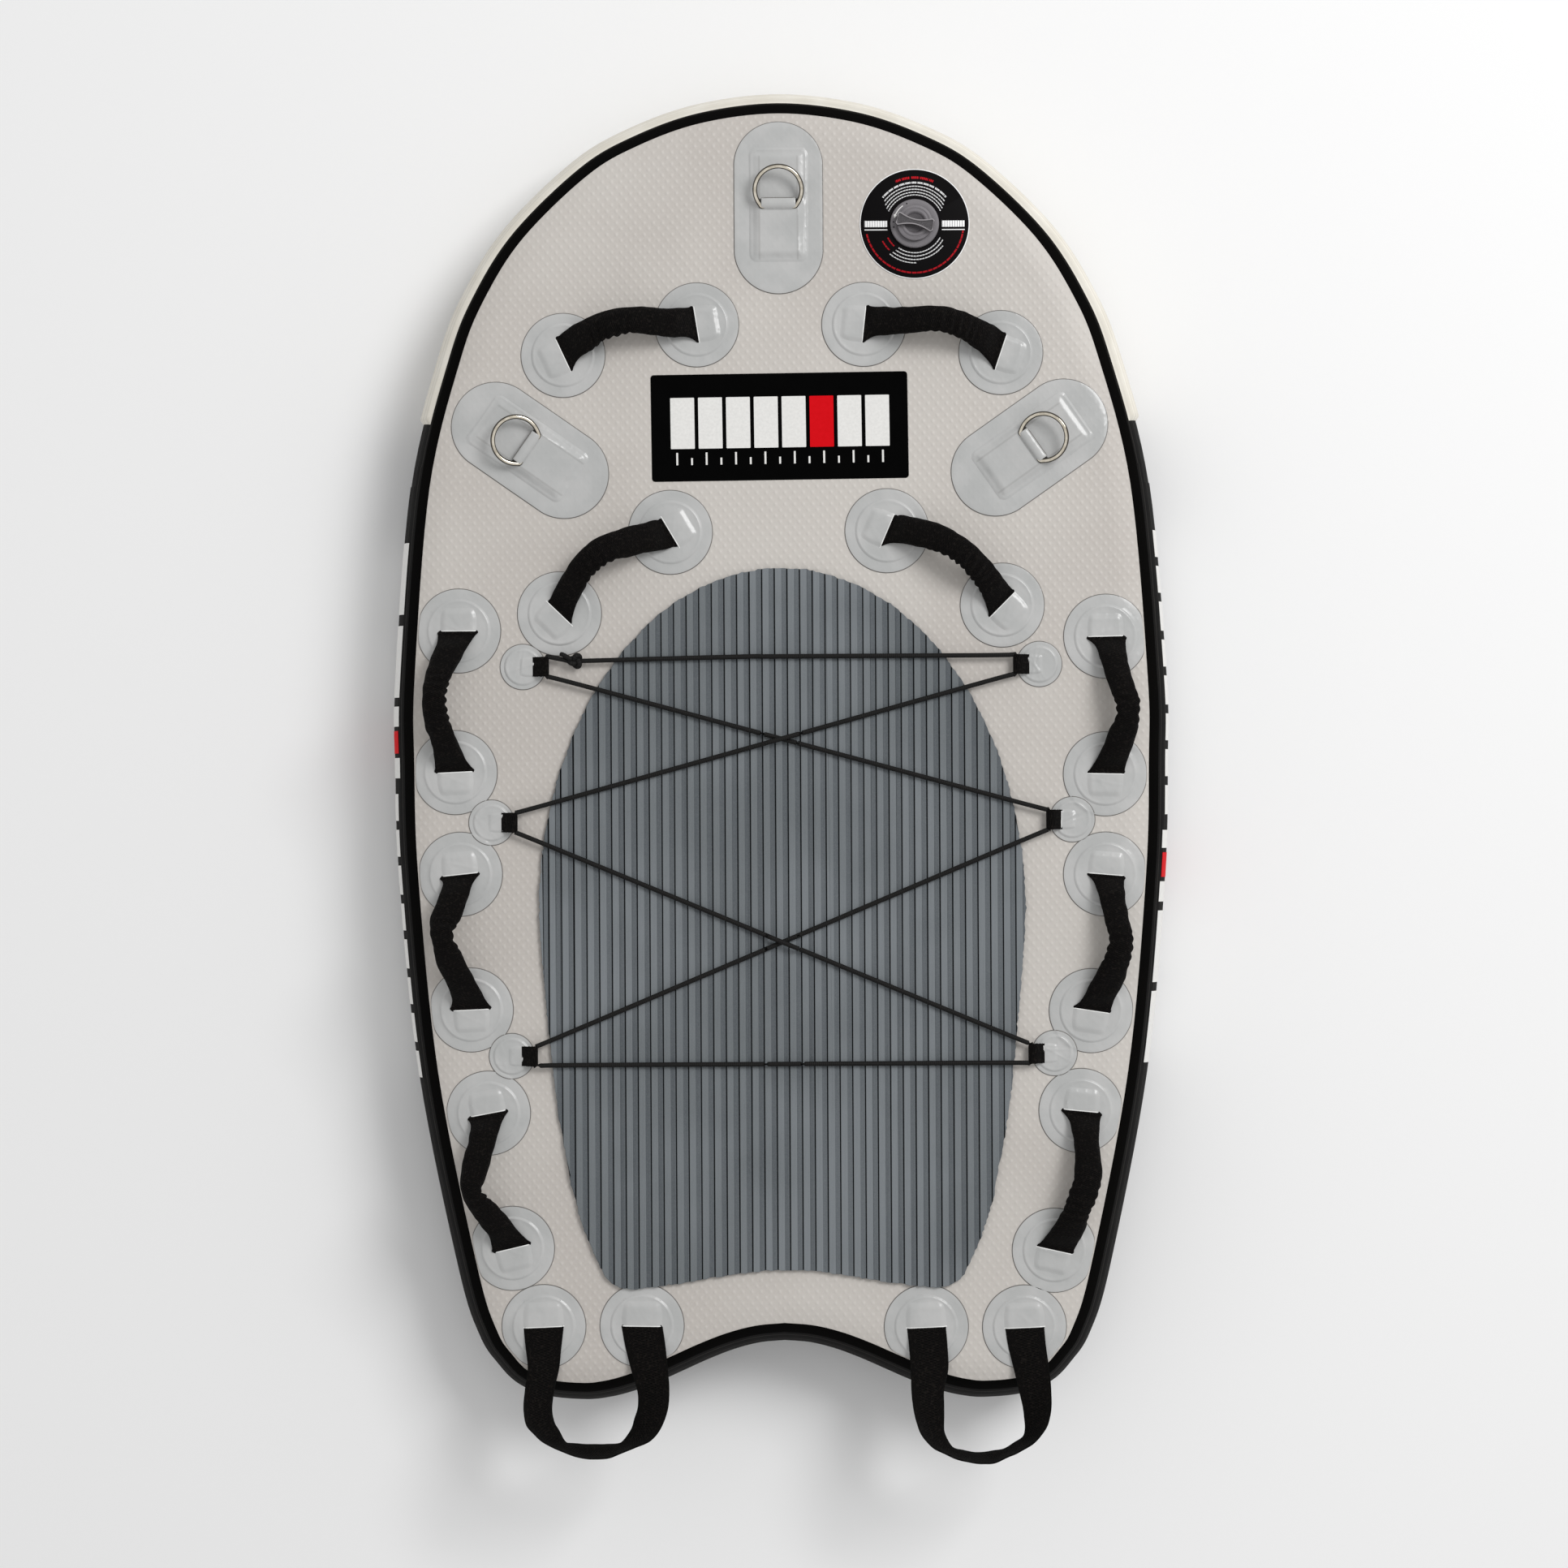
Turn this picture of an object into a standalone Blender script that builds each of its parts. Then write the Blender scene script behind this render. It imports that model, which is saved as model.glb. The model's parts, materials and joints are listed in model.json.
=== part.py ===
"""Inflatable rescue sled, towed behind a watercraft.

The frame: +Y runs to the nose, +X to the right seen from above, +Z up. The origin is on the
bottom skin, on the centreline, at the station where the hull is widest. Everything is in metres.
"""

import math

import bmesh
import bpy
from mathutils import Matrix, Vector

# Hull
NOSE_REACH = 0.849
TAIL_REACH = 0.855
HULL_WIDTH = 1.013
HULL_THICKNESS = 0.150
SKIN = 0.0015
WALL = 0.0018
RAIL_BULGE = 0.031
WALL_LAP = 0.014
TAIL_LOBE_ACROSS = 0.5173
TAIL_NOTCH_DEPTH = 0.076
LOOP_POINTS = 54
BEND_LENGTH = 0.10
RAIL_STEPS = 4

# Right half of the hull's outline, nose to tail lobe: each place is a share of half the width
# and a share of the reach from the widest station to the nose or to the tail
HULL_STATIONS = (
    (0.000, 1.000), (0.210, 0.985), (0.386, 0.948), (0.526, 0.899), (0.700, 0.799),
    (0.807, 0.700), (0.874, 0.600), (0.956, 0.402), (0.998, 0.106), (1.000, -0.023),
    (0.991, -0.201), (0.942, -0.501), (0.843, -0.800), (0.790, -0.901), (0.742, -0.945),
    (0.691, -0.975), (0.616, -0.994),
)
NOTCH_STEPS = 8
CURVE_STEPS = 8

# Drop-stitch threads, gathered into posts
THREAD_PITCH = 0.165
THREAD_SIZE = 0.007
THREAD_EDGE = 0.060

# Edge trims
TAPE_WIDTH = 0.014
TAPE_THICKNESS = 0.0010
BUMPER_THICKNESS = 0.006
BUMPER_HEIGHT = 0.100
BUMPER_END_ALONG = 0.5006

# Grooved deck pad. Its corner across is a share of half its own width
PAD_NOSE_ALONG = 0.2697
PAD_WIDEST_ALONG = -0.2515
PAD_TAIL_AHEAD = 0.154
PAD_SIDE_INSET = 0.192
PAD_THICKNESS = 0.006
PAD_CORNER_ACROSS = 0.658
PAD_NOTCH_DEPTH = 0.023
PAD_STATIONS = (
    (1.000, 0.000), (0.984, 0.160), (0.950, 0.390), (0.922, 0.545), (0.865, 0.745),
    (0.820, 0.845), (0.765, 0.930), (0.722, 0.978),
)
PAD_POINTS = 46
GROOVE_PITCH = 0.0163
GROOVE_WIDTH = 0.0018
GROOVE_DEPTH = 0.0035

# Round patches that hold the webbing. The pocket is the flat bulge over its buried end
PATCH_RADIUS = 0.055
PATCH_BASE = 0.0012
DISC_RADIUS = 0.0415
DISC_RISE = 0.0010
PATCH_SIDES = 15
POCKET_LENGTH = 0.036
POCKET_RISE = 0.0016
POCKET_MARGIN = 0.0010
TRIM_SIDES = 36
WEBBING_WIDTH = 0.048
WEBBING_THICKNESS = 0.003

# Grips: a padded sleeve on webbing, arched between two round patches
GRIP_SLEEVE_WIDTH = 0.035
GRIP_SLEEVE_DEPTH = 0.022
GRIP_NECK_RADIUS = 0.013
GRIP_NECK_RISE = 0.017
GRIP_NECK_REACH = 0.016
GRIP_ARCH = 0.040
GRIP_ARCH_POWER = 2.2
GRIP_RINGS = 11
GRIP_SIDES = 8
SLEEVE_SQUARENESS = 2.6

# Where the grips stand: across and along are shares like the hull's stations, and inset is
# measured from the deck's edge
FRONT_GRIP_INNER = (0.2146, 0.6407)
FRONT_GRIP_OUTER = (0.5548, 0.5960)
FRONT_GRIP_SPLAY = 13
FRONT_GRIP_LEAN = 28
MIDDLE_GRIP_INNER = (0.2823, 0.3239)
MIDDLE_GRIP_OUTER = (0.5627, 0.2120)
MIDDLE_GRIP_SPLAY = 8
MIDDLE_GRIP_LEAN = 62
SIDE_GRIP_LEAN = 35
SIDE_GRIPS = {
    "fore": ((0.0575, 0.1661), (0.0560, -0.0398)),
    "centre": ((0.0590, -0.1977), (0.0600, -0.4023)),
    "aft": ((0.0595, -0.5573), (0.0570, -0.7593)),
}

# Bungee and its anchors
BUNGEE_DIAMETER = 0.006
BUNGEE_RISE = 0.0100
ANCHOR_RADIUS = 0.0305
ANCHOR_DISC_RADIUS = 0.0245
ANCHOR_POCKET_LENGTH = 0.017
ANCHOR_SIDES = 14
ANCHOR_LOOP_WIDTH = 0.0254
ANCHOR_LOOP_WALL = 0.0016
ANCHOR_LOOP_REACH = 0.020
ANCHORS = {"fore": (0.141, 0.1213), "centre": (0.100, -0.1146), "aft": (0.1105, -0.4725)}
BUNGEE_STRAIGHT = 0.0024
BUNGEE_BEND = 0.0040
KNOT_RADIUS = 0.0105
KNOT_FROM_LOOP = 0.046

# D-rings on their long patches
RING_PATCH_WIDTH = 0.116
RING_PATCH_LENGTH = 0.224
RING_PLATFORM_WIDTH = 0.078
RING_PLATFORM_LENGTH = 0.148
RING_STRAP_LENGTH = 0.062
RING_STRAP_WALL = 0.0018
RING_WIRE = 0.0056
RING_WIDTH = 0.066
RING_REACH = 0.056
RING_CORNER = 0.008
RING_STEPS = 12
RING_LIFT = 14
NOSE_RING_SETBACK = 0.154
SHOULDER_RING = (0.6377, 0.4511)
SHOULDER_RING_TURN = 35

# Tail loops: flat webbing that twists onto its edge behind the tail
TAIL_PATCH_AHEAD = 0.102
TAIL_LOOP_ACROSS = 0.4896
TAIL_LOOP_SPREAD = 0.127
TAIL_ROOT_LENGTH = 0.008
TAIL_LOOP_REACH = 0.170
TAIL_LOOP_BELLY = 0.012
TAIL_LOOP_TWIST = 66
TAIL_LOOP_LIFT = 0.010
TAIL_LOOP_STEPS = 15

# Inflation valve, on the right of the nose
VALVE_PLACE = (0.3475, 0.7927)
LABEL_RADIUS = 0.0695
LABEL_THICKNESS = 0.0008
LABEL_HOLE_MARGIN = 0.0020
FLANGE_RADIUS = 0.0315
FLANGE_HEIGHT = 0.0045
BARREL_RADIUS = 0.0225
BARREL_DEPTH = 0.036
BORE_RADIUS = 0.0190
SEAT_DEPTH = 0.026
SEAT_THICKNESS = 0.003
SEAT_PORT_RADIUS = 0.0042
SEAT_PORT_CIRCLE = 0.0105
CAP_RADIUS = 0.0165
CAP_RIM = 0.0040
CAP_DISC = 0.0030
CAP_DOME = 0.0010
CAP_WALL = 0.0020
CAP_SKIRT = 0.010
CAP_TAB_LENGTH = 0.049
CAP_TAB_WIDTH = 0.020
CAP_TAB_WAIST = 0.007
CAP_TAB_HEIGHT = 0.009
CAP_TAB_EDGE = 0.0018
CAP_TAB_TURN = -12
SEAL_WIRE = 0.0022
SEAL_SIDES = 6
VALVE_EDGE = 0.0012
STEM_RADIUS = 0.0030
BUTTON_RADIUS = 0.0072
BUTTON_HEIGHT = 0.0025
POPPET_RADIUS = 0.0155
POPPET_HEIGHT = 0.0025
SPRING_WIRE = 0.0010
SPRING_RADIUS = 0.0056
SPRING_TURNS = 4
SPRING_HEIGHT = 0.0105
SPRING_STEPS = 10
VALVE_SIDES = 22

# Room between pieces
GAP = 0.0003
RUNNING_GAP = 0.0005
MERGE = 0.00001

COLOURS = {
    "drop_stitch_fabric": ((0.558, 0.539, 0.509), 0.55, 0.0),
    "rail_pvc": ((0.004, 0.003, 0.002), 0.45, 0.0),
    "bumper_pvc": ((0.497, 0.468, 0.407), 0.60, 0.0),
    "pad_foam": ((0.159, 0.175, 0.184), 0.85, 0.0),
    "patch_pvc": ((0.456, 0.440, 0.434), 0.45, 0.0),
    "webbing": ((0.004, 0.003, 0.003), 0.80, 0.0),
    "bungee": ((0.004, 0.004, 0.004), 0.75, 0.0),
    "stainless": ((0.700, 0.680, 0.650), 0.18, 1.0),
    "label": ((0.006, 0.006, 0.006), 0.50, 0.0),
    "valve_plastic": ((0.141, 0.127, 0.144), 0.50, 0.0),
    "seal_rubber": ((0.010, 0.010, 0.010), 0.60, 0.0),
    "spring_steel": ((0.550, 0.550, 0.550), 0.30, 1.0),
}

PARTS = "rescue_sled"
DECK = HULL_THICKNESS
UP = Vector((0, 0, 1))
LAID = []


def clear_scene():
    for thing in list(bpy.data.objects):
        bpy.data.objects.remove(thing, do_unlink=True)


def make_collection(name):
    collection = bpy.data.collections.new(name)
    bpy.context.scene.collection.children.link(collection)
    return collection


def material(name):
    if name in bpy.data.materials:
        return bpy.data.materials[name]
    colour, roughness, metallic = COLOURS[name]
    made = bpy.data.materials.new(name)
    made.use_nodes = True
    shader = made.node_tree.nodes["Principled BSDF"]
    shader.inputs["Base Color"].default_value = (*colour, 1)
    shader.inputs["Roughness"].default_value = roughness
    shader.inputs["Metallic"].default_value = metallic
    return made


def place(name, mesh, finish, spot=(0, 0, 0), turn=0):
    """One named sub-part, with its origin at spot and turned about +Z by turn radians."""
    piece = bpy.data.objects.new(name, mesh)
    if not mesh.materials:
        mesh.materials.append(material(finish))
    piece.matrix_world = Matrix.Translation(Vector(spot)) @ Matrix.Rotation(turn, 4, "Z")
    bpy.data.collections[PARTS].objects.link(piece)
    return piece


def helper(name, mesh):
    """A cutter or a guide, kept out of the parts."""
    piece = bpy.data.objects.new(name, mesh)
    piece.hide_render = True
    piece.display_type = "WIRE"
    bpy.data.collections["cutters"].objects.link(piece)
    return piece


def finish_mesh(bm, name, sharp=35):
    bmesh.ops.recalc_face_normals(bm, faces=bm.faces)
    mesh = bpy.data.meshes.new(name)
    bm.to_mesh(mesh)
    bm.free()
    mesh.shade_smooth()
    mesh.set_sharp_from_angle(angle=math.radians(sharp))
    return mesh


def baked(piece):
    """The mesh of an object with its modifiers applied; the object goes."""
    graph = bpy.context.evaluated_depsgraph_get()
    mesh = bpy.data.meshes.new_from_object(piece.evaluated_get(graph))
    bpy.data.objects.remove(piece, do_unlink=True)
    return mesh


def combine(piece, operation, other):
    modifier = piece.modifiers.new(operation.lower(), "BOOLEAN")
    modifier.operation = operation
    modifier.object = other
    return modifier


def joined(name, base, *steps):
    """A mesh made from a base mesh by union and difference steps, each (operation, mesh)."""
    piece = helper(name, base)
    others = []
    for operation, mesh in steps:
        other = helper(name + "_tool", mesh)
        combine(piece, operation, other)
        others.append(other)
    mesh = baked(piece)
    for other in others:
        bpy.data.objects.remove(other, do_unlink=True)
    bm = bmesh.new()
    bm.from_mesh(mesh)
    bmesh.ops.remove_doubles(bm, verts=bm.verts, dist=MERGE)
    return finish_mesh(bm, name)


def loft(rings, wrap=False, capped=True):
    """A surface over rings of equal count: wrapped round, capped at both ends, or open."""
    bm = bmesh.new()
    made = [[bm.verts.new(point) for point in ring] for ring in rings]
    pairs = list(zip(made, made[1:]))
    if wrap:
        pairs.append((made[-1], made[0]))
    for first, second in pairs:
        for i in range(len(first)):
            j = (i + 1) % len(first)
            bm.faces.new((first[i], first[j], second[j], second[i]))
    if capped and not wrap:
        bm.faces.new(made[0])
        bm.faces.new(made[-1])
    return bm


def welded(curve):
    """The mesh of a curve, with its caps joined on; the curve goes."""
    guide = helper(curve.name + "_guide", curve)
    bm = bmesh.new()
    bm.from_mesh(baked(guide))
    bmesh.ops.remove_doubles(bm, verts=bm.verts, dist=MERGE)
    return finish_mesh(bm, curve.name)


def straight_runs(name, points, closed, dimensions):
    """A curve of straight runs through the points."""
    curve = bpy.data.curves.new(name, "CURVE")
    curve.dimensions = dimensions
    spline = curve.splines.new("POLY")
    spline.points.add(len(points) - 1)
    for point, spot in zip(spline.points, points):
        point.co = (*spot.to_3d(), 1)
    spline.use_cyclic_u = closed
    return curve


def wire(name, points, diameter, resolution, closed):
    """A round wire or cord along the points."""
    curve = straight_runs(name, points, closed, "3D")
    curve.bevel_depth = diameter / 2
    curve.bevel_resolution = resolution
    curve.use_fill_caps = True
    return welded(curve)


def slab(name, outline, low, high):
    """A flat plate: a filled outline with a thickness."""
    curve = straight_runs(name, outline, True, "2D")
    curve.fill_mode = "BOTH"
    curve.extrude = (high - low) / 2
    mesh = welded(curve)
    mesh.transform(Matrix.Translation((0, 0, (low + high) / 2)))
    return mesh


def turned(name, profile, sides=VALVE_SIDES):
    """A turned solid: the profile runs down its outer side, from top to bottom."""
    mesh = bpy.data.meshes.new(name)
    edges = [(i, i + 1) for i in range(len(profile) - 1)]
    mesh.from_pydata([(x, 0, z) for x, z in profile], edges, [])
    piece = helper(name, mesh)
    screw = piece.modifiers.new("turn", "SCREW")
    screw.steps = sides
    screw.render_steps = sides
    screw.use_merge_vertices = True
    screw.merge_threshold = MERGE
    return baked(piece)


def cylinder(name, radius, low, high, sides, spot=(0, 0)):
    bm = bmesh.new()
    middle = Matrix.Translation((*spot, (low + high) / 2))
    bmesh.ops.create_cone(
        bm, cap_ends=True, segments=sides, radius1=radius, radius2=radius, depth=high - low,
        matrix=middle,
    )
    return finish_mesh(bm, name)


def box(name, low, high):
    bm = bmesh.new()
    size = Vector(high) - Vector(low)
    middle = Matrix.Translation((Vector(high) + Vector(low)) / 2)
    bmesh.ops.create_cube(bm, size=1, matrix=middle @ Matrix.Diagonal((*size, 1)))
    return finish_mesh(bm, name)


def smooth_through(points, steps):
    """Points on a smooth curve that runs through the given ones."""
    points = [Vector(point) for point in points]
    before = points[0] * 2 - points[1]
    after = points[-1] * 2 - points[-2]
    chain = [before, *points, after]
    curve = []
    for a, b, c, d in zip(chain, chain[1:], chain[2:], chain[3:]):
        for step in range(steps):
            t = step / steps
            curve.append(
                0.5 * (2 * b + (c - a) * t + (2 * a - 5 * b + 4 * c - d) * t ** 2
                       + (3 * b - a - 3 * c + d) * t ** 3)
            )
    return curve + [points[-1]]


def spread(curve, count, bend_length=0.0):
    """Points along a curve at equal steps, where a radian of turning counts as bend_length."""
    marks = [0.0]
    for i in range(1, len(curve)):
        run = curve[i] - curve[i - 1]
        bend = 0.0
        if i > 1 and run.length > 0:
            bend = run.angle(curve[i - 1] - curve[i - 2], 0.0)
        marks.append(marks[-1] + run.length + bend_length * bend)
    picked = []
    for k in range(count):
        goal = marks[-1] * k / (count - 1)
        i = max(1, next((j for j, mark in enumerate(marks) if mark >= goal), len(marks) - 1))
        share = (goal - marks[i - 1]) / max(marks[i] - marks[i - 1], 1e-9)
        picked.append(curve[i - 1].lerp(curve[i], min(share, 1.0)))
    return picked


def notch(half_width, edge_y, depth, count):
    """The wave across a tail, from a lobe to the centreline."""
    points = []
    for k in range(count + 1):
        x = half_width * (1 - k / count)
        points.append(Vector((x, edge_y + depth * (1 + math.cos(math.pi * x / half_width)) / 2)))
    return points


def mirrored(spot):
    return Vector((-spot.x, *spot[1:]))


def both_sides(half):
    """A closed outline from its right half, which starts and ends on the centreline."""
    return half + [mirrored(point) for point in reversed(half[1:-1])]


def on_hull(across, along):
    """A place from shares of half the hull's width and of its reach to the nose or the tail."""
    reach = NOSE_REACH if along > 0 else TAIL_REACH
    return Vector((across * HULL_WIDTH / 2, along * reach))


def hull_curve():
    """The right half of the hull's outline, nose to tail notch, in fine steps."""
    side = [on_hull(across, along) for across, along in HULL_STATIONS]
    lobe = on_hull(TAIL_LOBE_ACROSS, -1)
    tail = notch(lobe.x, lobe.y, TAIL_NOTCH_DEPTH, NOTCH_STEPS)
    left_of_nose = mirrored(side[1])
    curve = smooth_through([left_of_nose, *side, *tail], CURVE_STEPS)
    return [point for point in curve[CURVE_STEPS:] if point.x > -MERGE]


def hull_outline():
    return both_sides(spread(hull_curve(), LOOP_POINTS // 2 + 1, BEND_LENGTH))


def inset(outline, distance):
    """An outline moved inwards by distance; it runs clockwise seen from above."""
    moved = []
    count = len(outline)
    for i, point in enumerate(outline):
        into = (point - outline[i - 1]).normalized()
        out = (outline[(i + 1) % count] - point).normalized()
        normal = Vector((into.y + out.y, -into.x - out.x)).normalized()
        stretch = max(0.5, normal.dot(Vector((into.y, -into.x))))
        moved.append(point + normal * distance / stretch)
    return moved


def deck_edge_x(y):
    """Half the deck's width at a station."""
    edge = inset(hull_outline(), RAIL_BULGE)
    for a, b in zip(edge, edge[1:]):
        if a.y >= y >= b.y and a.x > 0:
            return a.x + (b.x - a.x) * (a.y - y) / max(a.y - b.y, 1e-9)
    return HULL_WIDTH / 2 - RAIL_BULGE


def flat_ring(outline, z):
    return [Vector((point.x, point.y, z)) for point in outline]


def from_deck_edge(inset_x, along):
    """A place on the right of the deck, inset from its edge."""
    y = on_hull(1, along).y
    return Vector((deck_edge_x(y) - inset_x, y))


def rail_arc():
    """Centre distance and radius of the rail's bulge, and the half angle that it spans."""
    half_height = HULL_THICKNESS / 2 - SKIN - GAP
    radius = (half_height ** 2 + RAIL_BULGE ** 2) / (2 * RAIL_BULGE)
    return radius, math.asin(half_height / radius)


def rail_point(angle, out):
    """Inset from the hull's outline, and height, of a point out past the rail's surface."""
    radius, _ = rail_arc()
    return (
        radius - (radius + out) * math.cos(angle),
        HULL_THICKNESS / 2 + (radius + out) * math.sin(angle),
    )


def rail_angles(span):
    """The angles at which the rail's facets meet, from the top down."""
    return [span * (1 - 2 * k / RAIL_STEPS) for k in range(RAIL_STEPS + 1)]


def thread_places():
    """Where the threads stand: a grid that keeps off the hull's edge, the notch and the valve."""
    rows = int((NOSE_REACH + TAIL_REACH) / THREAD_PITCH / 2) + 1
    columns = int(HULL_WIDTH / THREAD_PITCH / 2) + 1
    tail_end = TAIL_NOTCH_DEPTH - TAIL_REACH + RAIL_BULGE + THREAD_EDGE
    nose_end = NOSE_REACH - RAIL_BULGE - THREAD_EDGE
    valve = valve_centre(0).to_2d()
    places = []
    for row in range(-rows, rows + 1):
        for column in range(-columns, columns + 1):
            spot = Vector((column * THREAD_PITCH, row * THREAD_PITCH))
            if not tail_end < spot.y < nose_end:
                continue
            near_edge = abs(spot.x) > deck_edge_x(spot.y) - THREAD_EDGE
            near_valve = (spot - valve).length < BARREL_RADIUS + 2 * THREAD_SIZE
            if not (near_edge or near_valve):
                places.append(spot)
    return places


def make_panel():
    """The drop-stitch panel: deck face, bottom face and the threads that tie them together."""
    outline = inset(hull_outline(), RAIL_BULGE)
    bottom = slab("bottom_face", outline, 0, SKIN)
    top = slab("deck_face", outline, DECK - SKIN, DECK)
    threads = bmesh.new()
    size = Matrix.Diagonal((THREAD_SIZE, THREAD_SIZE, DECK - SKIN, 1))
    for spot in thread_places():
        middle = Matrix.Translation((*spot, DECK / 2))
        bmesh.ops.create_cube(threads, size=1, matrix=middle @ size)
    valve = valve_centre(0).to_2d()
    radius = BARREL_RADIUS + GAP
    hole = cylinder("valve_hole", radius, DECK - 4 * SKIN, DECK + SKIN, VALVE_SIDES, valve)
    mesh = joined(
        "drop_stitch_panel", top, ("UNION", finish_mesh(threads, "threads")),
        ("UNION", bottom), ("DIFFERENCE", hole),
    )
    place("drop_stitch_panel", mesh, "drop_stitch_fabric")


def make_side_wall():
    """The rail: a bulged wall whose two edges lap inside the faces of the panel."""
    outline = hull_outline()
    _, span = rail_arc()
    lap = RAIL_BULGE + WALL_LAP
    profile = [(lap, HULL_THICKNESS - SKIN - GAP)]
    profile += [rail_point(angle, 0) for angle in rail_angles(span)]
    profile += [(lap, SKIN + GAP)]
    rings = [flat_ring(inset(outline, away), z) for away, z in profile]
    wall = place("side_wall", finish_mesh(loft(rings, capped=False), "side_wall"), "rail_pvc")
    shell = wall.modifiers.new("wall", "SOLIDIFY")
    shell.thickness = WALL
    shell.offset = -1
    shell.use_even_offset = True


def make_seam_tape():
    """The tape over the joint of deck and rail, on the rail's shoulder."""
    outline = hull_outline()
    radius, span = rail_arc()
    under = 2 * GAP
    start = span - GAP / radius
    end = start - TAPE_WIDTH / radius
    profile = [
        rail_point(start, under + TAPE_THICKNESS), rail_point(end, under + TAPE_THICKNESS),
        rail_point(end, under), rail_point(start, under),
    ]
    rings = [flat_ring(inset(outline, away), z) for away, z in profile]
    place("deck_seam_tape", finish_mesh(loft(rings, wrap=True), "deck_seam_tape"), "rail_pvc")


def make_bumper():
    """The rub strip glued round the nose, proud of the rail."""
    outline = hull_outline()
    ahead = [i for i, point in enumerate(outline) if point.y > BUMPER_END_ALONG * NOSE_REACH]
    right = [i for i in ahead if outline[i].x >= 0]
    left = [i for i in ahead if outline[i].x < 0]
    order = left + right
    radius, span = rail_arc()
    half = math.asin(BUMPER_HEIGHT / 2 / radius)
    facets = [angle for angle in rail_angles(span) if abs(angle) < half]
    inner = [rail_point(angle, 2 * GAP) for angle in (half, *facets, -half)]
    outer = [
        rail_point(half * side, 2 * GAP + BUMPER_THICKNESS * rise)
        for side, rise in ((-1, 0.35), (-0.85, 1), (0, 1), (0.85, 1), (1, 0.35))
    ]
    loops = [inset(outline, away) for away, _ in inner + outer]
    heights = [z for _, z in inner + outer]
    rings = []
    for i in order:
        rings.append([Vector((*loops[k][i], heights[k])) for k in range(len(loops))])
    place("bow_bumper", finish_mesh(loft(rings), "bow_bumper"), "bumper_pvc")


def pad_extent():
    """Half the pad's width, and the Y of its nose, its widest station and its tail."""
    nose = on_hull(0, PAD_NOSE_ALONG).y
    widest = on_hull(0, PAD_WIDEST_ALONG).y
    return HULL_WIDTH / 2 - PAD_SIDE_INSET, nose, widest, PAD_TAIL_AHEAD - TAIL_REACH


def pad_outline():
    half, nose, widest, tail_end = pad_extent()
    front = []
    for k in range(24):
        angle = math.pi / 2 * (1 - k / 24)
        front.append(Vector((half * math.cos(angle), widest + (nose - widest) * math.sin(angle))))
    rear = [Vector((a * half, widest + b * (tail_end - widest))) for a, b in PAD_STATIONS]
    tail = notch(PAD_CORNER_ACROSS * half, tail_end, PAD_NOTCH_DEPTH, 6)
    curve = front + smooth_through(rear + tail, 6)
    return both_sides(spread(curve, PAD_POINTS // 2 + 1, BEND_LENGTH))


def make_pad():
    """The foam deck pad, with straight grooves from end to end."""
    low = DECK + GAP
    high = low + PAD_THICKNESS
    pad = slab("pad_slab", pad_outline(), low, high)
    grooves = bmesh.new()
    half, nose, _, tail_end = pad_extent()
    count = int((half - GROOVE_PITCH / 2) / GROOVE_PITCH) + 1
    length = nose - tail_end + 2 * GROOVE_PITCH
    size = Matrix.Diagonal((GROOVE_WIDTH, length, 2 * GROOVE_DEPTH, 1))
    for k in range(-count, count):
        middle = ((k + 0.5) * GROOVE_PITCH, (nose + tail_end) / 2, high)
        bmesh.ops.create_cube(grooves, size=1, matrix=Matrix.Translation(middle) @ size)
    mesh = joined("deck_pad", pad, ("DIFFERENCE", finish_mesh(grooves, "grooves")))
    place("deck_pad", mesh, "pad_foam")


def patch_disc(radius, disc_radius, sides=PATCH_SIDES):
    """A round patch: a thin flange and a raised disc, with its underside at z = 0."""
    rise = PATCH_BASE + DISC_RISE
    slope = DISC_RISE * 1.5
    return turned("patch_disc", [
        (0, rise), (disc_radius - slope, rise), (disc_radius, PATCH_BASE), (radius, PATCH_BASE),
        (radius, 0), (0, 0),
    ], sides)


def section(centre, side, up, half_width, half_height, sides=GRIP_SIDES):
    """A ring of points round a centre, squarer than an ellipse where it is flat."""
    round_section = abs(half_width - half_height) < MERGE
    power = 1 if round_section else 2 / SLEEVE_SQUARENESS
    ring = []
    for k in range(sides):
        angle = 2 * math.pi * (k + 0.5) / sides
        across = math.copysign(abs(math.cos(angle)) ** power, math.cos(angle))
        above = math.copysign(abs(math.sin(angle)) ** power, math.sin(angle))
        ring.append(centre + side * across * half_width + up * above * half_height)
    return ring


def pocket_mesh(width, length, turn):
    """The flat pocket on a patch, where the webbing goes in; it opens towards +X."""
    rise = PATCH_BASE + DISC_RISE
    mesh = box("pocket", (-length, -width / 2, PATCH_BASE / 2), (0, width / 2, rise + POCKET_RISE))
    mesh.transform(Matrix.Rotation(turn, 4, "Z"))
    return mesh


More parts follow.
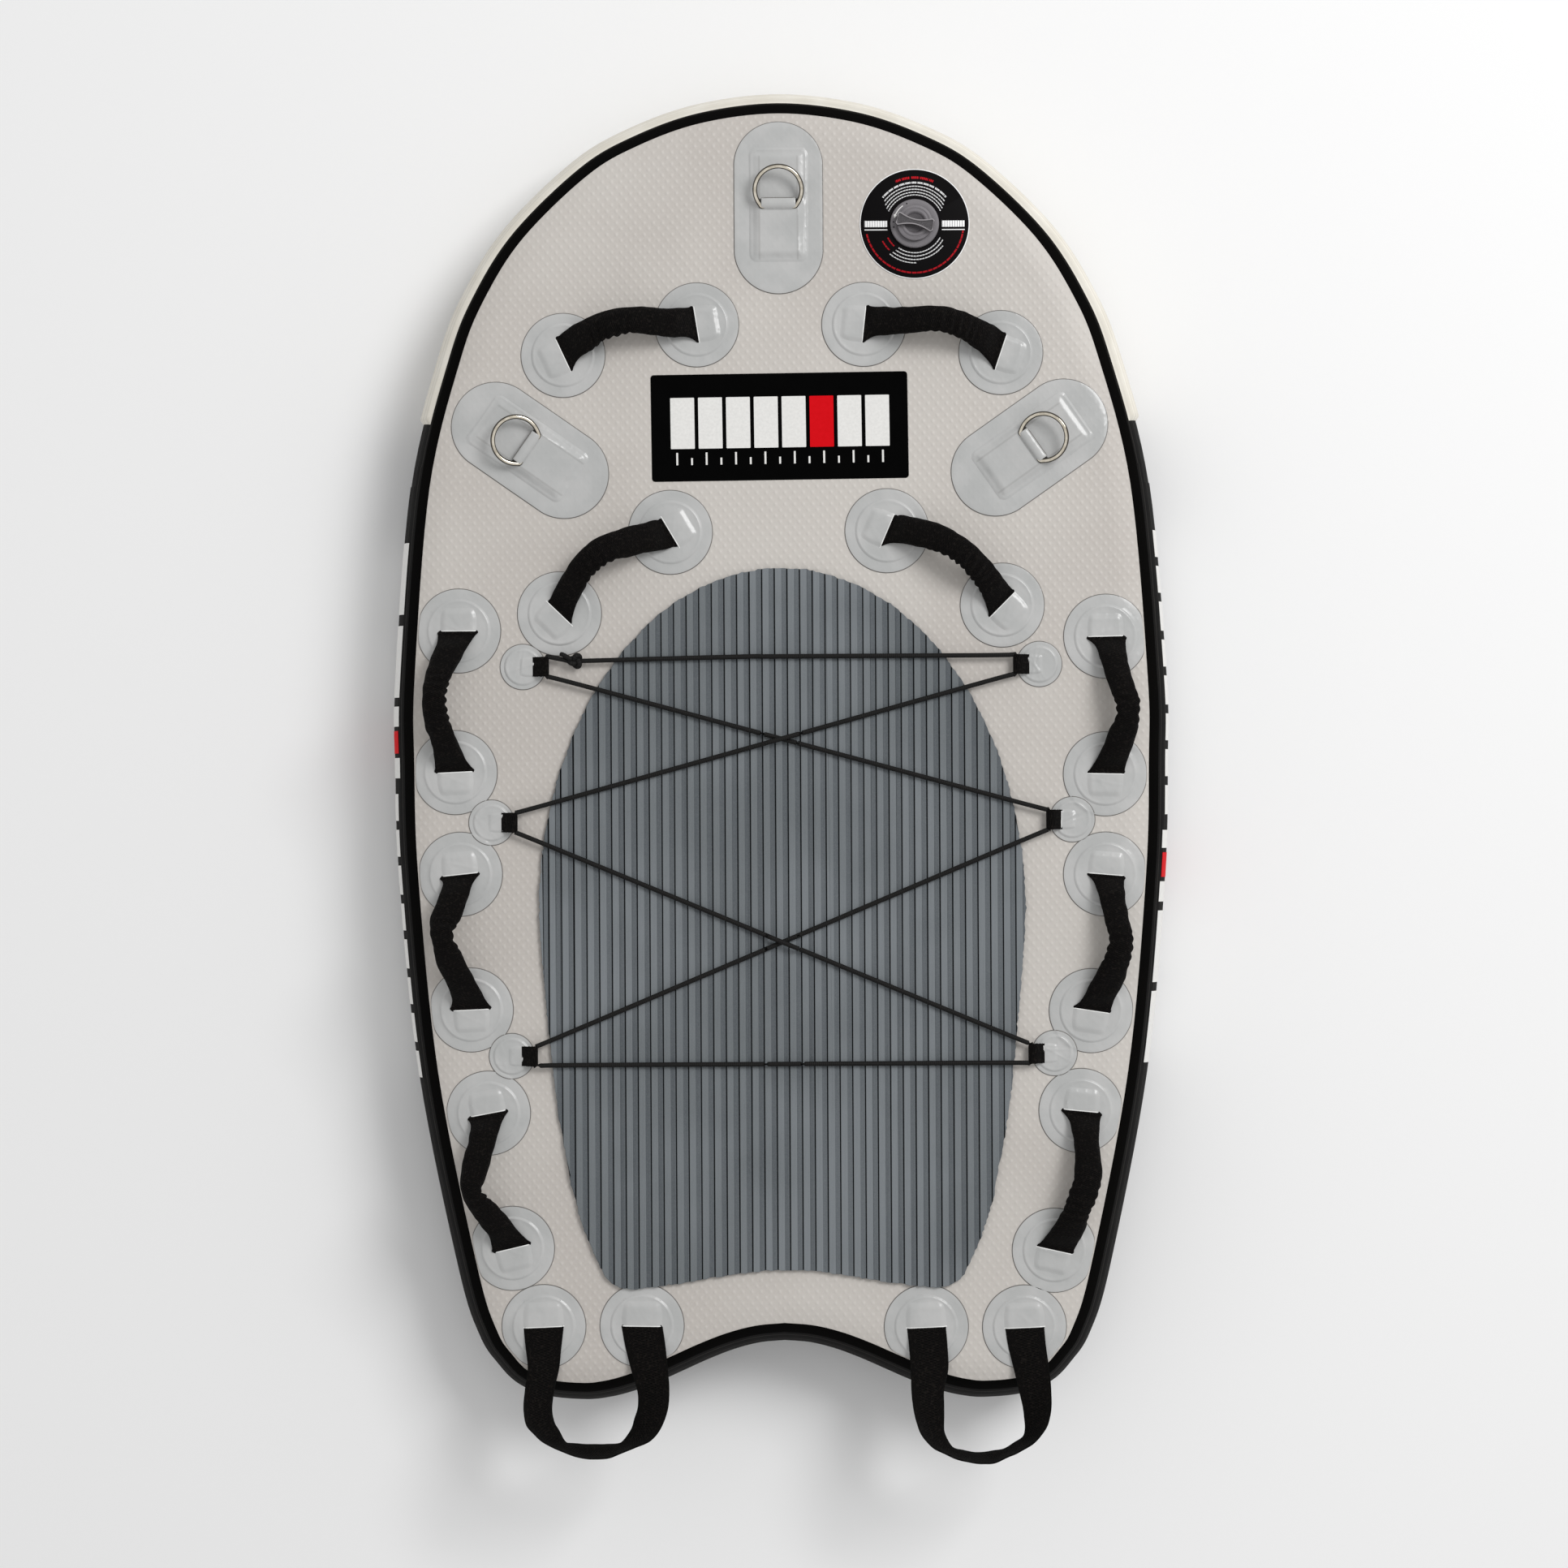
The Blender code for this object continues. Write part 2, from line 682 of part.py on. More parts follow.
def grip_patch_mesh(splay):
    """A round patch with the webbing root that rises from its slit to the grip's neck."""
    rise = PATCH_BASE + DISC_RISE
    flat = WEBBING_THICKNESS / 2
    slit = Matrix.Rotation(splay, 3, "Z") @ Vector((0, 1, 0))
    into = Matrix.Rotation(splay, 3, "Z") @ Vector((1, 0, 0))
    across = Vector((0, 1, 0))
    neck = GRIP_NECK_RISE - GAP
    rings = [
        section(into * -flat * 3 + UP * (rise + flat / 2), slit, UP, WEBBING_WIDTH / 2, flat),
        section(into * flat + UP * (rise + flat), slit, UP, WEBBING_WIDTH / 2, flat),
    ]
    gathering = ((0.45, 0.42, 0.4, 0.42, 0.0027), (0.78, 0.82, 0.8, 0.32, 0.0080))
    for out, up, turning, width, half_height in gathering:
        centre = Vector((GRIP_NECK_REACH * out, 0, neck * up))
        side = slit.lerp(across, turning)
        rings.append(section(centre, side, UP, WEBBING_WIDTH * width, half_height))
    end = Vector((GRIP_NECK_REACH, 0, neck))
    rings.append(section(end, across, UP, GRIP_NECK_RADIUS, GRIP_NECK_RADIUS))
    return joined(
        "grip_patch", patch_disc(PATCH_RADIUS, DISC_RADIUS),
        ("UNION", pocket_mesh(WEBBING_WIDTH + 2 * POCKET_MARGIN, POCKET_LENGTH, splay)),
        ("UNION", finish_mesh(loft(rings), "webbing_root")),
    )


def grip_mesh(start, end, lean_direction):
    """The arch between two necks, in coordinates whose origin is the middle of the pivot line."""
    run = end - start
    half_length = run.length / 2 - GRIP_NECK_REACH - RUNNING_GAP
    along = run.normalized()
    side = along.cross(lean_direction).normalized()
    power = GRIP_ARCH_POWER
    rings = []
    for k in range(GRIP_RINGS):
        u = 2 * k / (GRIP_RINGS - 1) - 1
        height = GRIP_ARCH * (1 - abs(u) ** power)
        slope = -GRIP_ARCH * power * math.copysign(abs(u) ** (power - 1), u) / half_length
        out = (lean_direction - along * slope).normalized()
        half_width = GRIP_SLEEVE_WIDTH / 2
        half_depth = GRIP_SLEEVE_DEPTH / 2
        from_end = min(k, GRIP_RINGS - 1 - k)
        if from_end == 0:
            out = lean_direction
            half_width = GRIP_NECK_RADIUS
            half_depth = GRIP_NECK_RADIUS
        elif from_end == 1:
            half_width = (GRIP_NECK_RADIUS + half_width) / 2
        centre = along * u * half_length + lean_direction * height
        rings.append(section(centre, side, out, half_width, half_depth))
    return finish_mesh(loft(rings), "grip")


def place_patch(name, mesh, spot, towards):
    """A patch on the deck whose slit opens towards another place."""
    direction = towards - spot
    turn = math.atan2(direction.y, direction.x)
    return place(name, mesh, "patch_pvc", (spot.x, spot.y, DECK + GAP), turn)


def trim(piece, spot, radius):
    """Cut a round patch back where a patch laid before it, or the pad, already lies."""
    low = DECK - SKIN
    for k, (other, other_radius) in enumerate(LAID):
        if (other - spot).length < radius + other_radius + 2 * GAP:
            high = DECK + PAD_THICKNESS
            tool = cylinder("trim", other_radius + GAP, low, high, TRIM_SIDES, other)
            combine(piece, "DIFFERENCE", helper(f"{piece.name}_trim_{k}", tool))
    LAID.append((spot.copy(), radius))
    pad = inset(pad_outline(), -2 * GAP)
    if min((point - spot).length for point in pad) < radius + GAP:
        tool = slab("pad_trim", pad, low, DECK + PAD_THICKNESS)
        combine(piece, "DIFFERENCE", helper(piece.name + "_pad_trim", tool))


def make_grip(name, first, second, splay, lean, patch_meshes):
    """A grip and its two patches. It leans outwards, to the left of the run from first to second."""
    run = (second - first).normalized()
    outwards = Vector((-run.y, run.x, 0))
    lean_direction = UP * math.cos(lean) + outwards * math.sin(lean)
    height = DECK + GRIP_NECK_RISE
    start = Vector((*first, height))
    end = Vector((*second, height))
    place("grip_" + name, grip_mesh(start, end, lean_direction), "webbing", (start + end) / 2)
    for spot, other, which, turn in ((first, second, "a", splay), (second, first, "b", -splay)):
        patch = place_patch(f"patch_{name}_{which}", patch_meshes[round(turn, 4)], spot, other)
        trim(patch, spot, PATCH_RADIUS)


def grip_places():
    """Each grip on the right side: name, first end, second end, splay and lean."""
    front = on_hull(*FRONT_GRIP_INNER), on_hull(*FRONT_GRIP_OUTER)
    middle = on_hull(*MIDDLE_GRIP_INNER), on_hull(*MIDDLE_GRIP_OUTER)
    places = [
        ("front", *front, FRONT_GRIP_SPLAY, FRONT_GRIP_LEAN),
        ("middle", *middle, MIDDLE_GRIP_SPLAY, MIDDLE_GRIP_LEAN),
    ]
    for name, (upper, lower) in SIDE_GRIPS.items():
        places.append((name, from_deck_edge(*upper), from_deck_edge(*lower), 0, SIDE_GRIP_LEAN))
    return places


def make_grips():
    """Five grips a side, mirrored about the centreline."""
    splays = {0.0}
    for degrees in (FRONT_GRIP_SPLAY, MIDDLE_GRIP_SPLAY):
        splays |= {round(math.radians(degrees), 4), round(-math.radians(degrees), 4)}
    meshes = {splay: grip_patch_mesh(splay) for splay in sorted(splays)}
    for name, first, second, splay, lean in grip_places():
        turn = math.radians(splay)
        tilt = math.radians(lean)
        make_grip(name + "_right", first, second, turn, tilt, meshes)
        make_grip(name + "_left", mirrored(first), mirrored(second), -turn, -tilt, meshes)


def anchor_mesh():
    """A small patch with a folded webbing loop that points to +X and lets the bungee through."""
    rise = PATCH_BASE + DISC_RISE
    bore = BUNGEE_DIAMETER / 2 + RUNNING_GAP
    outer = bore + ANCHOR_LOOP_WALL
    half = ANCHOR_LOOP_WIDTH / 2
    height = BUNGEE_RISE - GAP
    reach = ANCHOR_LOOP_REACH - outer
    flat_top = rise + ANCHOR_LOOP_WALL
    buried = (-2 * ANCHOR_LOOP_WALL, rise / 2)
    top = [(buried[0], flat_top), (0, flat_top)]
    for share, rounded in ((0.35, 0.55), (0.70, 0.92)):
        top.append((reach * share, flat_top + (height + outer - flat_top) * rounded))
    for k in range(6):
        angle = math.radians(15 + 30 * k)
        top.append((reach + outer * math.sin(angle), height + outer * math.cos(angle)))
    under = [(reach * 0.6, height - outer * 0.9), (reach * 0.2, buried[1]), buried]
    rings = [[Vector((x, y, z)) for x, z in top + under] for y in (-half, half)]
    tunnel = cylinder("tunnel", bore, -half - WALL, half + WALL, 10)
    tunnel.transform(Matrix.Translation((reach, 0, height)) @ Matrix.Rotation(math.pi / 2, 4, "X"))
    pocket = pocket_mesh(ANCHOR_LOOP_WIDTH + 2 * POCKET_MARGIN, ANCHOR_POCKET_LENGTH, 0)
    return joined(
        "bungee_anchor", patch_disc(ANCHOR_RADIUS, ANCHOR_DISC_RADIUS, ANCHOR_SIDES),
        ("UNION", pocket), ("UNION", finish_mesh(loft(rings), "anchor_loop")),
        ("DIFFERENCE", tunnel),
    )


def anchor_places():
    return {name: from_deck_edge(*spot) for name, spot in ANCHORS.items()}


def make_anchors():
    """Three bungee anchors a side."""
    mesh = anchor_mesh()
    for name, spot in anchor_places().items():
        for side, word in ((1, "right"), (-1, "left")):
            centre = Vector((spot.x * side, spot.y))
            anchor = place_patch(f"bungee_anchor_{name}_{word}", mesh, centre, Vector((0, spot.y)))
            trim(anchor, centre, ANCHOR_RADIUS)


def bungee_eyes():
    """The middle of the tunnel in each anchor's loop."""
    pulled = ANCHOR_LOOP_REACH - BUNGEE_DIAMETER / 2 - RUNNING_GAP - ANCHOR_LOOP_WALL
    eyes = {}
    for name, spot in anchor_places().items():
        for side, word in ((1, "right"), (-1, "left")):
            eyes[name, word] = Vector((side * (spot.x - pulled), spot.y, DECK + BUNGEE_RISE))
    return eyes


def bungee_route(eyes):
    """The closed lacing, point by point: where each leg starts, and on which side of its loop."""
    half = ANCHOR_LOOP_WIDTH / 2
    legs = [
        (("fore", "left"), 1, ("fore", "right"), 1, False),
        (("fore", "right"), -1, ("centre", "left"), 1, True),
        (("centre", "left"), -1, ("aft", "right"), 1, True),
        (("aft", "right"), -1, ("aft", "left"), -1, False),
        (("aft", "left"), 1, ("centre", "right"), -1, False),
        (("centre", "right"), 1, ("fore", "left"), -1, False),
    ]
    route = []
    for start, out, end, back, crosses_over in legs:
        ahead = Vector((0, out, 0))
        behind = Vector((0, back, 0))
        leaves = eyes[start] + ahead * (half + BUNGEE_STRAIGHT)
        arrives = eyes[end] + behind * (half + BUNGEE_STRAIGHT)
        run = (arrives - leaves).normalized()
        crossing = leaves.lerp(arrives, leaves.x / (leaves.x - arrives.x))
        lift = UP * (BUNGEE_DIAMETER + RUNNING_GAP) if crosses_over else Vector((0, 0, 0))
        step = run * BUNGEE_DIAMETER * 4
        route += [eyes[start] + ahead * half / 2, leaves, leaves + (ahead + run) * BUNGEE_BEND]
        route += [crossing - step * 2, crossing - step + lift * 0.7, crossing + lift]
        route += [crossing + step + lift * 0.7, crossing + step * 2]
        route += [arrives + (behind - run) * BUNGEE_BEND, arrives, eyes[end] + behind * half / 2]
    return route


def make_bungee():
    """The shock cord, laced in one closed loop whose ends meet in a knot."""
    eyes = bungee_eyes()
    cord = wire("bungee_loop", bungee_route(eyes), BUNGEE_DIAMETER, 1, True)
    spot = eyes["fore", "left"] + Vector((KNOT_FROM_LOOP, ANCHOR_LOOP_WIDTH / 2, 0))
    knot = bmesh.new()
    bmesh.ops.create_icosphere(knot, subdivisions=2, radius=KNOT_RADIUS)
    knot.transform(Matrix.Translation(spot) @ Matrix.Diagonal((1.15, 0.95, 0.85, 1)))
    mesh = joined("bungee_cord", cord, ("UNION", finish_mesh(knot, "knot")))
    place("bungee_cord", mesh, "bungee")


def stadium(width, length, per_end):
    """A flat outline with round ends, long along X."""
    radius = width / 2
    points = []
    for end in (1, -1):
        for k in range(per_end + 1):
            angle = math.pi * (k / per_end) - math.pi / 2
            x = (length / 2 - radius + radius * math.cos(angle)) * end
            points.append(Vector((x, radius * math.sin(angle) * end)))
    return points


def ring_bar_height():
    """Height of the ring's bar over the patch's underside."""
    return PATCH_BASE + DISC_RISE + 2 * RING_STRAP_WALL + RUNNING_GAP + RING_WIRE / 2


def ring_patch_mesh():
    """A long patch with a folded strap round the ring's bar; the ring's side is +X."""
    rise = PATCH_BASE + DISC_RISE
    base = slab("base", stadium(RING_PATCH_WIDTH, RING_PATCH_LENGTH, 8), 0, PATCH_BASE)
    corner = Vector((RING_PLATFORM_LENGTH / 2, RING_PLATFORM_WIDTH / 2))
    platform = box("platform", (*-corner, PATCH_BASE / 2), (*corner, rise))
    bore = RING_WIRE / 2 + RUNNING_GAP
    outer = bore + RING_STRAP_WALL
    bar = ring_bar_height()
    half = WEBBING_WIDTH / 2
    buried = rise - DISC_RISE / 2
    back = [(-RING_STRAP_LENGTH, buried), (-RING_STRAP_LENGTH, rise + 2 * RING_STRAP_WALL)]
    top = [(-outer * 2.2, rise + 2.4 * RING_STRAP_WALL), (-outer * 0.9, bar + outer * 0.75)]
    fold = []
    for k in range(6):
        angle = math.radians(30 * k)
        fold.append((outer * math.sin(angle), bar + outer * math.cos(angle)))
    profile = back + top + fold + [(0, buried)]
    rings = [[Vector((x, y, z)) for x, z in profile] for y in (-half, half)]
    tunnel = cylinder("tunnel", bore, -half - WALL, half + WALL, 12)
    tunnel.transform(Matrix.Translation((0, 0, bar)) @ Matrix.Rotation(math.pi / 2, 4, "X"))
    return joined(
        "ring_patch", base, ("UNION", platform), ("UNION", finish_mesh(loft(rings), "strap")),
        ("DIFFERENCE", tunnel),
    )


def ring_mesh():
    """The D-ring: its bar lies on Y through the origin, and the bow reaches to +X, lifted."""
    half = RING_WIDTH / 2 - RING_WIRE / 2
    reach = RING_REACH - RING_WIRE / 2
    bar_end = half - RING_CORNER * 0.6
    bow_start = RING_CORNER / 2
    points = [Vector((0, -bar_end, 0)), Vector((0, bar_end, 0))]
    for k in range(RING_STEPS + 1):
        angle = math.pi * k / RING_STEPS
        out = bow_start + (reach - bow_start) * math.sin(angle) ** 0.9
        points.append(Vector((out, half * math.cos(angle), 0)))
    mesh = wire("d_ring", points, RING_WIRE, 2, True)
    mesh.transform(Matrix.Rotation(-math.radians(RING_LIFT), 4, "Y"))
    return mesh


def ring_places():
    """Each D-ring: name, place of its bar, and the way that its bow points."""
    shoulder = on_hull(*SHOULDER_RING)
    turn = math.radians(SHOULDER_RING_TURN)
    return [
        ("nose", Vector((0, NOSE_REACH - NOSE_RING_SETBACK)), math.pi / 2),
        ("shoulder_right", shoulder, turn),
        ("shoulder_left", mirrored(shoulder), math.pi - turn),
    ]


def make_rings():
    patch = ring_patch_mesh()
    ring = ring_mesh()
    for name, spot, turn in ring_places():
        place("ring_patch_" + name, patch, "patch_pvc", (spot.x, spot.y, DECK + GAP), turn)
        bar = (spot.x, spot.y, DECK + GAP + ring_bar_height())
        place("d_ring_" + name, ring, "stainless", bar, turn)


def tail_patch_mesh():
    """A round patch with a short flat webbing root, which points to +X."""
    rise = PATCH_BASE + DISC_RISE
    half = WEBBING_WIDTH / 2
    low = (-WEBBING_THICKNESS, -half, rise / 2)
    root = box("root", low, (TAIL_ROOT_LENGTH, half, rise + WEBBING_THICKNESS))
    pocket = pocket_mesh(WEBBING_WIDTH + 2 * POCKET_MARGIN, POCKET_LENGTH, 0)
    disc = patch_disc(PATCH_RADIUS, DISC_RADIUS)
    return joined("tail_patch", disc, ("UNION", pocket), ("UNION", root))


def tail_pivot():
    """Place of the line that the tail loops hinge on: its Y, and its height over the roots' top."""
    y = TAIL_PATCH_AHEAD - TAIL_REACH - TAIL_ROOT_LENGTH
    return y, DECK + 2 * GAP + PATCH_BASE + DISC_RISE + WEBBING_THICKNESS


def tail_loop_mesh():
    """Flat webbing out of two patches, which turns onto its edge and meets behind the tail."""
    spread_x = TAIL_LOOP_SPREAD / 2
    reach = TAIL_LOOP_REACH - TAIL_ROOT_LENGTH
    belly = TAIL_LOOP_BELLY
    under = WEBBING_THICKNESS / 2 + GAP
    leg = [
        Vector((spread_x, -RUNNING_GAP, -under)),
        Vector((spread_x, -reach * 0.20, TAIL_LOOP_LIFT * 0.4 - under)),
        Vector((spread_x + belly * 0.5, -reach * 0.45, TAIL_LOOP_LIFT)),
        Vector((spread_x + belly, -reach * 0.66, TAIL_LOOP_LIFT * 1.2)),
        Vector((spread_x + belly * 0.3, -reach * 0.83, TAIL_LOOP_LIFT)),
        Vector((spread_x * 0.70, -reach * 0.95, TAIL_LOOP_LIFT * 0.9)),
        Vector((0, -reach, TAIL_LOOP_LIFT * 0.8)),
    ]
    other = [Vector((-point.x, point.y, point.z)) for point in reversed(leg[:-1])]
    path = spread(smooth_through(leg + other, 8), 2 * TAIL_LOOP_STEPS + 1)
    rings = []
    last = len(path) - 1
    for k, centre in enumerate(path):
        before = path[max(k - 1, 0)]
        after = path[min(k + 1, last)]
        along = (after - before).normalized()
        if k in (0, last):
            along = Vector((0, -1 if k == 0 else 1, 0))
        share = min(k, last - k) / (last / 2)
        twist = math.radians(TAIL_LOOP_TWIST) * min(1, max(0, (share - 0.25) / 0.55))
        flat = UP.cross(along).normalized()
        across = flat * math.cos(twist) + UP * math.sin(twist)
        normal = along.cross(across).normalized()
        half = WEBBING_WIDTH / 2
        thick = WEBBING_THICKNESS / 2
        rings.append([
            centre + across * half + normal * thick, centre - across * half + normal * thick,
            centre - across * half - normal * thick, centre + across * half - normal * thick,
        ])
    return finish_mesh(loft(rings), "tail_loop")


def make_tail_loops():
    patch = tail_patch_mesh()
    loop = tail_loop_mesh()
    pivot_y, pivot_z = tail_pivot()
    y = TAIL_PATCH_AHEAD - TAIL_REACH
    middle = on_hull(TAIL_LOOP_ACROSS, -1).x
    for side, word in ((1, "right"), (-1, "left")):
        for half, which in ((-0.5, "inner"), (0.5, "outer")):
            spot = Vector(((middle + half * TAIL_LOOP_SPREAD) * side, y))
            laid = place_patch(f"patch_tail_{word}_{which}", patch, spot, spot - Vector((0, 1)))
            trim(laid, spot, PATCH_RADIUS)
        place("tail_loop_" + word, loop, "webbing", (middle * side, pivot_y, pivot_z))


def valve_centre(z):
    return Vector((*on_hull(*VALVE_PLACE), z))


def seat_top():
    """Height of the top of the valve's seat plate."""
    return DECK + LABEL_THICKNESS + 2 * GAP - SEAT_DEPTH


def cap_seat():
    """Height of the top of the valve's flange, which the cap's seal lies on."""
    return DECK + LABEL_THICKNESS + 2 * GAP + FLANGE_HEIGHT


def make_valve_body():
    """Label, and body: flange, bore, and a ported seat plate with the stem's guide."""
    base = DECK + GAP
    hole = BARREL_RADIUS + LABEL_HOLE_MARGIN
    label = turned("valve_label", [
        (hole, LABEL_THICKNESS), (LABEL_RADIUS, LABEL_THICKNESS), (LABEL_RADIUS, 0), (hole, 0),
        (hole, LABEL_THICKNESS),
    ])
    place("valve_label", label, "label", valve_centre(base))
    low = base + LABEL_THICKNESS + GAP
    top = FLANGE_HEIGHT
    plate = seat_top() - low
    under_plate = plate - SEAT_THICKNESS
    guide = STEM_RADIUS + RUNNING_GAP
    body = turned("valve_body", [
        (guide, plate), (BORE_RADIUS, plate), (BORE_RADIUS, top - VALVE_EDGE),
        (BORE_RADIUS + VALVE_EDGE, top), (FLANGE_RADIUS - 2 * VALVE_EDGE, top),
        (FLANGE_RADIUS, top - VALVE_EDGE), (FLANGE_RADIUS, 0), (BARREL_RADIUS, 0),
        (BARREL_RADIUS, -BARREL_DEPTH), (BORE_RADIUS, -BARREL_DEPTH),
        (BORE_RADIUS, under_plate), (guide, under_plate), (guide, plate),
    ])
    ports = bmesh.new()
    for k in range(4):
        angle = math.pi / 2 * (k + 0.5)
        out = Vector((math.cos(angle), math.sin(angle), 0)) * SEAT_PORT_CIRCLE
        spot = Matrix.Translation(out + UP * (plate + under_plate) / 2)
        bmesh.ops.create_cone(
            ports, cap_ends=True, segments=10, radius1=SEAT_PORT_RADIUS,
            radius2=SEAT_PORT_RADIUS, depth=3 * SEAT_THICKNESS, matrix=spot,
        )
    mesh = joined("valve_body", body, ("DIFFERENCE", finish_mesh(ports, "ports")))
    place("valve_body", mesh, "valve_plastic", valve_centre(low))


def make_poppet():
    """Button, stem and sealing disc in one: pushed down, it opens the ports."""
    button_low = SPRING_HEIGHT + 2 * GAP
    button_top = button_low + BUTTON_HEIGHT
    edge = VALVE_EDGE
    disc_top = -SEAT_THICKNESS - GAP
    disc_low = disc_top - POPPET_HEIGHT
    poppet = turned("valve_poppet", [
        (0, button_top), (BUTTON_RADIUS - edge, button_top), (BUTTON_RADIUS, button_top - edge),
        (BUTTON_RADIUS, button_low), (STEM_RADIUS, button_low), (STEM_RADIUS, disc_top),
        (POPPET_RADIUS, disc_top), (POPPET_RADIUS, disc_low), (0, disc_low),
    ])
    place("valve_poppet", poppet, "valve_plastic", valve_centre(seat_top()))


def make_spring():
    """The poppet's spring, an open coil between the seat plate and the button."""
    room = SPRING_HEIGHT - SPRING_WIRE - GAP
    count = SPRING_TURNS * SPRING_STEPS
    points = []
    for k in range(count + 1):
        angle = 2 * math.pi * k / SPRING_STEPS
        height = GAP + SPRING_WIRE / 2 + room * k / count
        out = Vector((math.cos(angle), math.sin(angle), 0))
        points.append(out * SPRING_RADIUS + UP * height)
    print("least gap between the spring's turns", round(room / SPRING_TURNS - SPRING_WIRE, 5))
    mesh = wire("valve_spring", points, SPRING_WIRE, 1, False)
    place("valve_spring", mesh, "spring_steel", valve_centre(seat_top()))


def make_cap():
    """The cap: a plug in the bore, a domed disc and a waisted turning tab."""
    disc_low = 2 * GAP + SEAL_WIRE
    disc_top = disc_low + CAP_DISC
    plug = BORE_RADIUS - RUNNING_GAP
    inside = plug - CAP_WALL
    disc = turned("cap_disc", [
        (0, disc_top + CAP_DOME), (CAP_RADIUS, disc_top + CAP_DOME),
        (CAP_RADIUS + CAP_DOME, disc_top), (BORE_RADIUS + CAP_RIM, disc_top),
        (BORE_RADIUS + CAP_RIM, disc_low), (plug, disc_low), (plug, -CAP_SKIRT),
        (inside, -CAP_SKIRT), (inside, disc_low), (0, disc_low),
    ])
    edge = []
    for k in range(9):
        share = k / 4 - 1
        width = CAP_TAB_WAIST + (CAP_TAB_WIDTH - CAP_TAB_WAIST) * share ** 2
        edge.append(Vector((share * CAP_TAB_LENGTH / 2, width / 2)))
    outline = edge + [Vector((point.x, -point.y)) for point in reversed(edge)]
    shoulder = inset(outline, CAP_TAB_EDGE)
    low = disc_top - CAP_DOME
    top = low + CAP_TAB_HEIGHT
    tab = finish_mesh(loft([
        flat_ring(outline, low), flat_ring(outline, top - CAP_TAB_EDGE), flat_ring(shoulder, top),
    ]), "tab")
    tab.transform(Matrix.Rotation(math.radians(CAP_TAB_TURN), 4, "Z"))
    cap = joined("valve_cap", disc, ("UNION", tab))
    place("valve_cap", cap, "valve_plastic", valve_centre(cap_seat()))


def make_seal():
    """The rubber ring between the cap's disc and the valve's flange."""
    radius = BORE_RADIUS + VALVE_EDGE + SEAL_WIRE / 2
    points = []
    for k in range(VALVE_SIDES):
        angle = 2 * math.pi * k / VALVE_SIDES
        points.append(Vector((math.cos(angle), math.sin(angle), 0)) * radius)
    rings = []
    for point in points:
        centre = point + UP * (GAP + SEAL_WIRE / 2)
        out = point.normalized()
        rings.append(section(centre, out, UP, SEAL_WIRE / 2, SEAL_WIRE / 2, SEAL_SIDES))
    mesh = finish_mesh(loft(rings, wrap=True), "valve_cap_seal")
    place("valve_cap_seal", mesh, "seal_rubber", valve_centre(cap_seat()))


def main():
    clear_scene()
    make_collection(PARTS)
    make_collection("cutters")
    make_panel()
    make_side_wall()
    make_seam_tape()
    make_bumper()
    make_pad()
    make_grips()
    make_tail_loops()
    make_anchors()
    make_bungee()
    make_rings()
    make_valve_body()
    make_poppet()
    make_spring()
    make_cap()
    make_seal()
    print(len(bpy.data.collections[PARTS].objects), "sub-parts")


main()
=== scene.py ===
# %% [markdown]
# # A rescue sled, towed behind a watercraft
# The sled is an inflatable deck with a notched tail. It carries ten grips, two tail loops, three
# D-rings, a laced bungee over a foam pad, and a valve. The solids of every piece come from a
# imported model, and this notebook dresses them: each cell makes one piece or one finish.

# %% Load the solids
import bisect
import json
import math
import bmesh
import bpy
from mathutils import Matrix, Vector, noise
from mathutils.kdtree import KDTree

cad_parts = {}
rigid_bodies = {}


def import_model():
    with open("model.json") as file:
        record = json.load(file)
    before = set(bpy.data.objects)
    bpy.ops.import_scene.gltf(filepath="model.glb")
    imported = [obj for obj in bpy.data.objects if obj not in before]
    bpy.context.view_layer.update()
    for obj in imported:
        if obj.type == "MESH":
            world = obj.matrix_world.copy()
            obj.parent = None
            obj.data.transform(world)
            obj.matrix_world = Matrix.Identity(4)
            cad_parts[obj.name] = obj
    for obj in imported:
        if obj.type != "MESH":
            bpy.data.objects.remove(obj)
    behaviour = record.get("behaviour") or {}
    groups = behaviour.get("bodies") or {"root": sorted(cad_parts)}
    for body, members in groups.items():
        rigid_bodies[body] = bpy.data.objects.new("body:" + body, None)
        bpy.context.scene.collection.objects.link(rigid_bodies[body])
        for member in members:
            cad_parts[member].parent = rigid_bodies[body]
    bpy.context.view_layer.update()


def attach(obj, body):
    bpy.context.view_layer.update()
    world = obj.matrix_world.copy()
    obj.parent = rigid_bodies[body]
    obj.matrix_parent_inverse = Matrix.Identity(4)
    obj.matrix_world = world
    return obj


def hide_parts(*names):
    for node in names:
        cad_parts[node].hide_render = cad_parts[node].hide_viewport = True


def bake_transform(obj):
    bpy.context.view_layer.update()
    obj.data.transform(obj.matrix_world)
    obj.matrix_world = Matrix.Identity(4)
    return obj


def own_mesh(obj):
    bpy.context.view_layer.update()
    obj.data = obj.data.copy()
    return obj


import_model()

# %% [markdown]
# ## The camera
# The photograph looks straight down on the deck from far off, so the camera hangs over the sled
# with a long lens. A camera looks down its own -Z, so it needs no tilt, only the small turn that
# brings the nose a little to the left.

# %% Hang the camera
CAMERA_SPOT = (0.003, -0.0502, 4.65)
CAMERA_TURN = -0.33
CAMERA_LENS = 79.9
SENSOR_WIDTH = 36

bpy.ops.object.camera_add(location=CAMERA_SPOT, rotation=(0, 0, math.radians(CAMERA_TURN)))
camera = bpy.context.object
camera.data.lens = CAMERA_LENS
camera.data.sensor_width = SENSOR_WIDTH
bpy.context.scene.camera = camera
bpy.context.scene.view_settings.view_transform = "Standard"
print("camera", round(CAMERA_SPOT[2], 2), "m over the floor")

